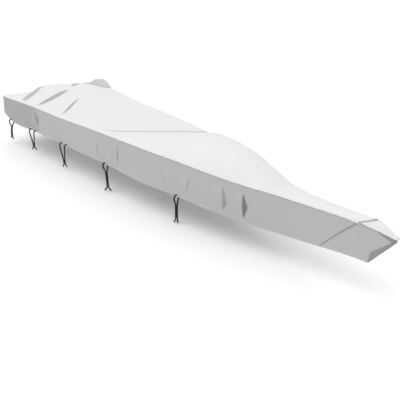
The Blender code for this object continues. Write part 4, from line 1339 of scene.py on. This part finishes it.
def bow_trim(side, word):
    end = LENGTH - 0.012
    s = np.linspace(0, 1, 26)
    x = end - TRIM_LONG * (1 - s)
    high = 0.004 + (TRIM_HIGH + 0.004) * np.sin(s * math.pi / 2) ** 0.8
    k = np.array([0.0, 0.04, 0.15, 0.4, 0.7, 0.9, 0.97, 1.0])
    lift = np.array([0.0020, 0.0021, 0.0021, 0.0021, 0.0021, 0.0020, 0.0014, 0.0003])
    rows = [[skirt_point(a, h * q / float(station("drop", a)), side, out=o + 0.0006) for q, o in zip(k, lift)] for a, h in zip(x, high)]
    p = np.array(rows)
    p[..., 2] -= 0.0004
    # Painted shade along its lower edge.
    dark = 0.18 * (k > 0.93)[None, :] * np.ones((26, 1))
    obj, area = closed_sheet(
        f"bow_trim_{word}_strip", p, binding_look, [f"bow_trim_{word}"], (0, side, 0),
        thick=0.0012, uv=np.stack([run_along(p, 0), run_along(p, 1)], -1), painted_shade=dark,
    )


stem_binding()
for side, word in ((-1, "starboard"), (1, "port")):
    bow_trim(side, word)


# ---------------------------------------------------------------- floor, light and world
def surroundings():
    floor_mesh = bpy.data.meshes.new("floor")
    low = float(cad_box[0].z) - 0.004
    far = 60.0
    floor_mesh.from_pydata([(-far, -far, low), (far, -far, low), (far, far, low), (-far, far, low)], [], [(0, 1, 2, 3)])
    floor = bpy.data.objects.new("floor", floor_mesh)
    bpy.context.scene.collection.objects.link(floor)
    m, tree, shader = material("floor_white", (0.93, 0.93, 0.93), 0.9)
    shader.inputs["Specular IOR Level"].default_value = 0.1
    n = Nodes(tree)
    soft = n.noise(n.place(), 0.6, 2.0)
    n.link(n.mix(soft, (0.925, 0.925, 0.928), (0.935, 0.935, 0.935)), shader.inputs["Base Color"])
    floor_mesh.materials.append(m)

    world = bpy.data.worlds.new("studio")
    bpy.context.scene.world = world
    world.use_nodes = True
    back = world.node_tree.nodes["Background"]
    back.inputs["Color"].default_value = (1.0, 1.0, 1.0, 1.0)
    back.inputs["Strength"].default_value = WORLD_LIGHT

    sun_data = bpy.data.lights.new("softbox", "SUN")
    sun_data.energy = SUN_LIGHT
    sun_data.angle = math.radians(40)
    sun_data.color = (1.0, 0.998, 0.995)
    sun = bpy.data.objects.new("softbox", sun_data)
    bpy.context.scene.collection.objects.link(sun)
    sun.rotation_mode = "QUATERNION"
    sun.rotation_quaternion = Vector(SUN_FROM).to_track_quat("Z", "Y")

    bpy.context.scene.view_settings.view_transform = "Standard"
    bpy.context.scene.view_settings.look = "None"


WORLD_LIGHT = 1.00
SUN_LIGHT = 0.78
SUN_FROM = (-0.36, -0.40, 0.84)
surroundings()
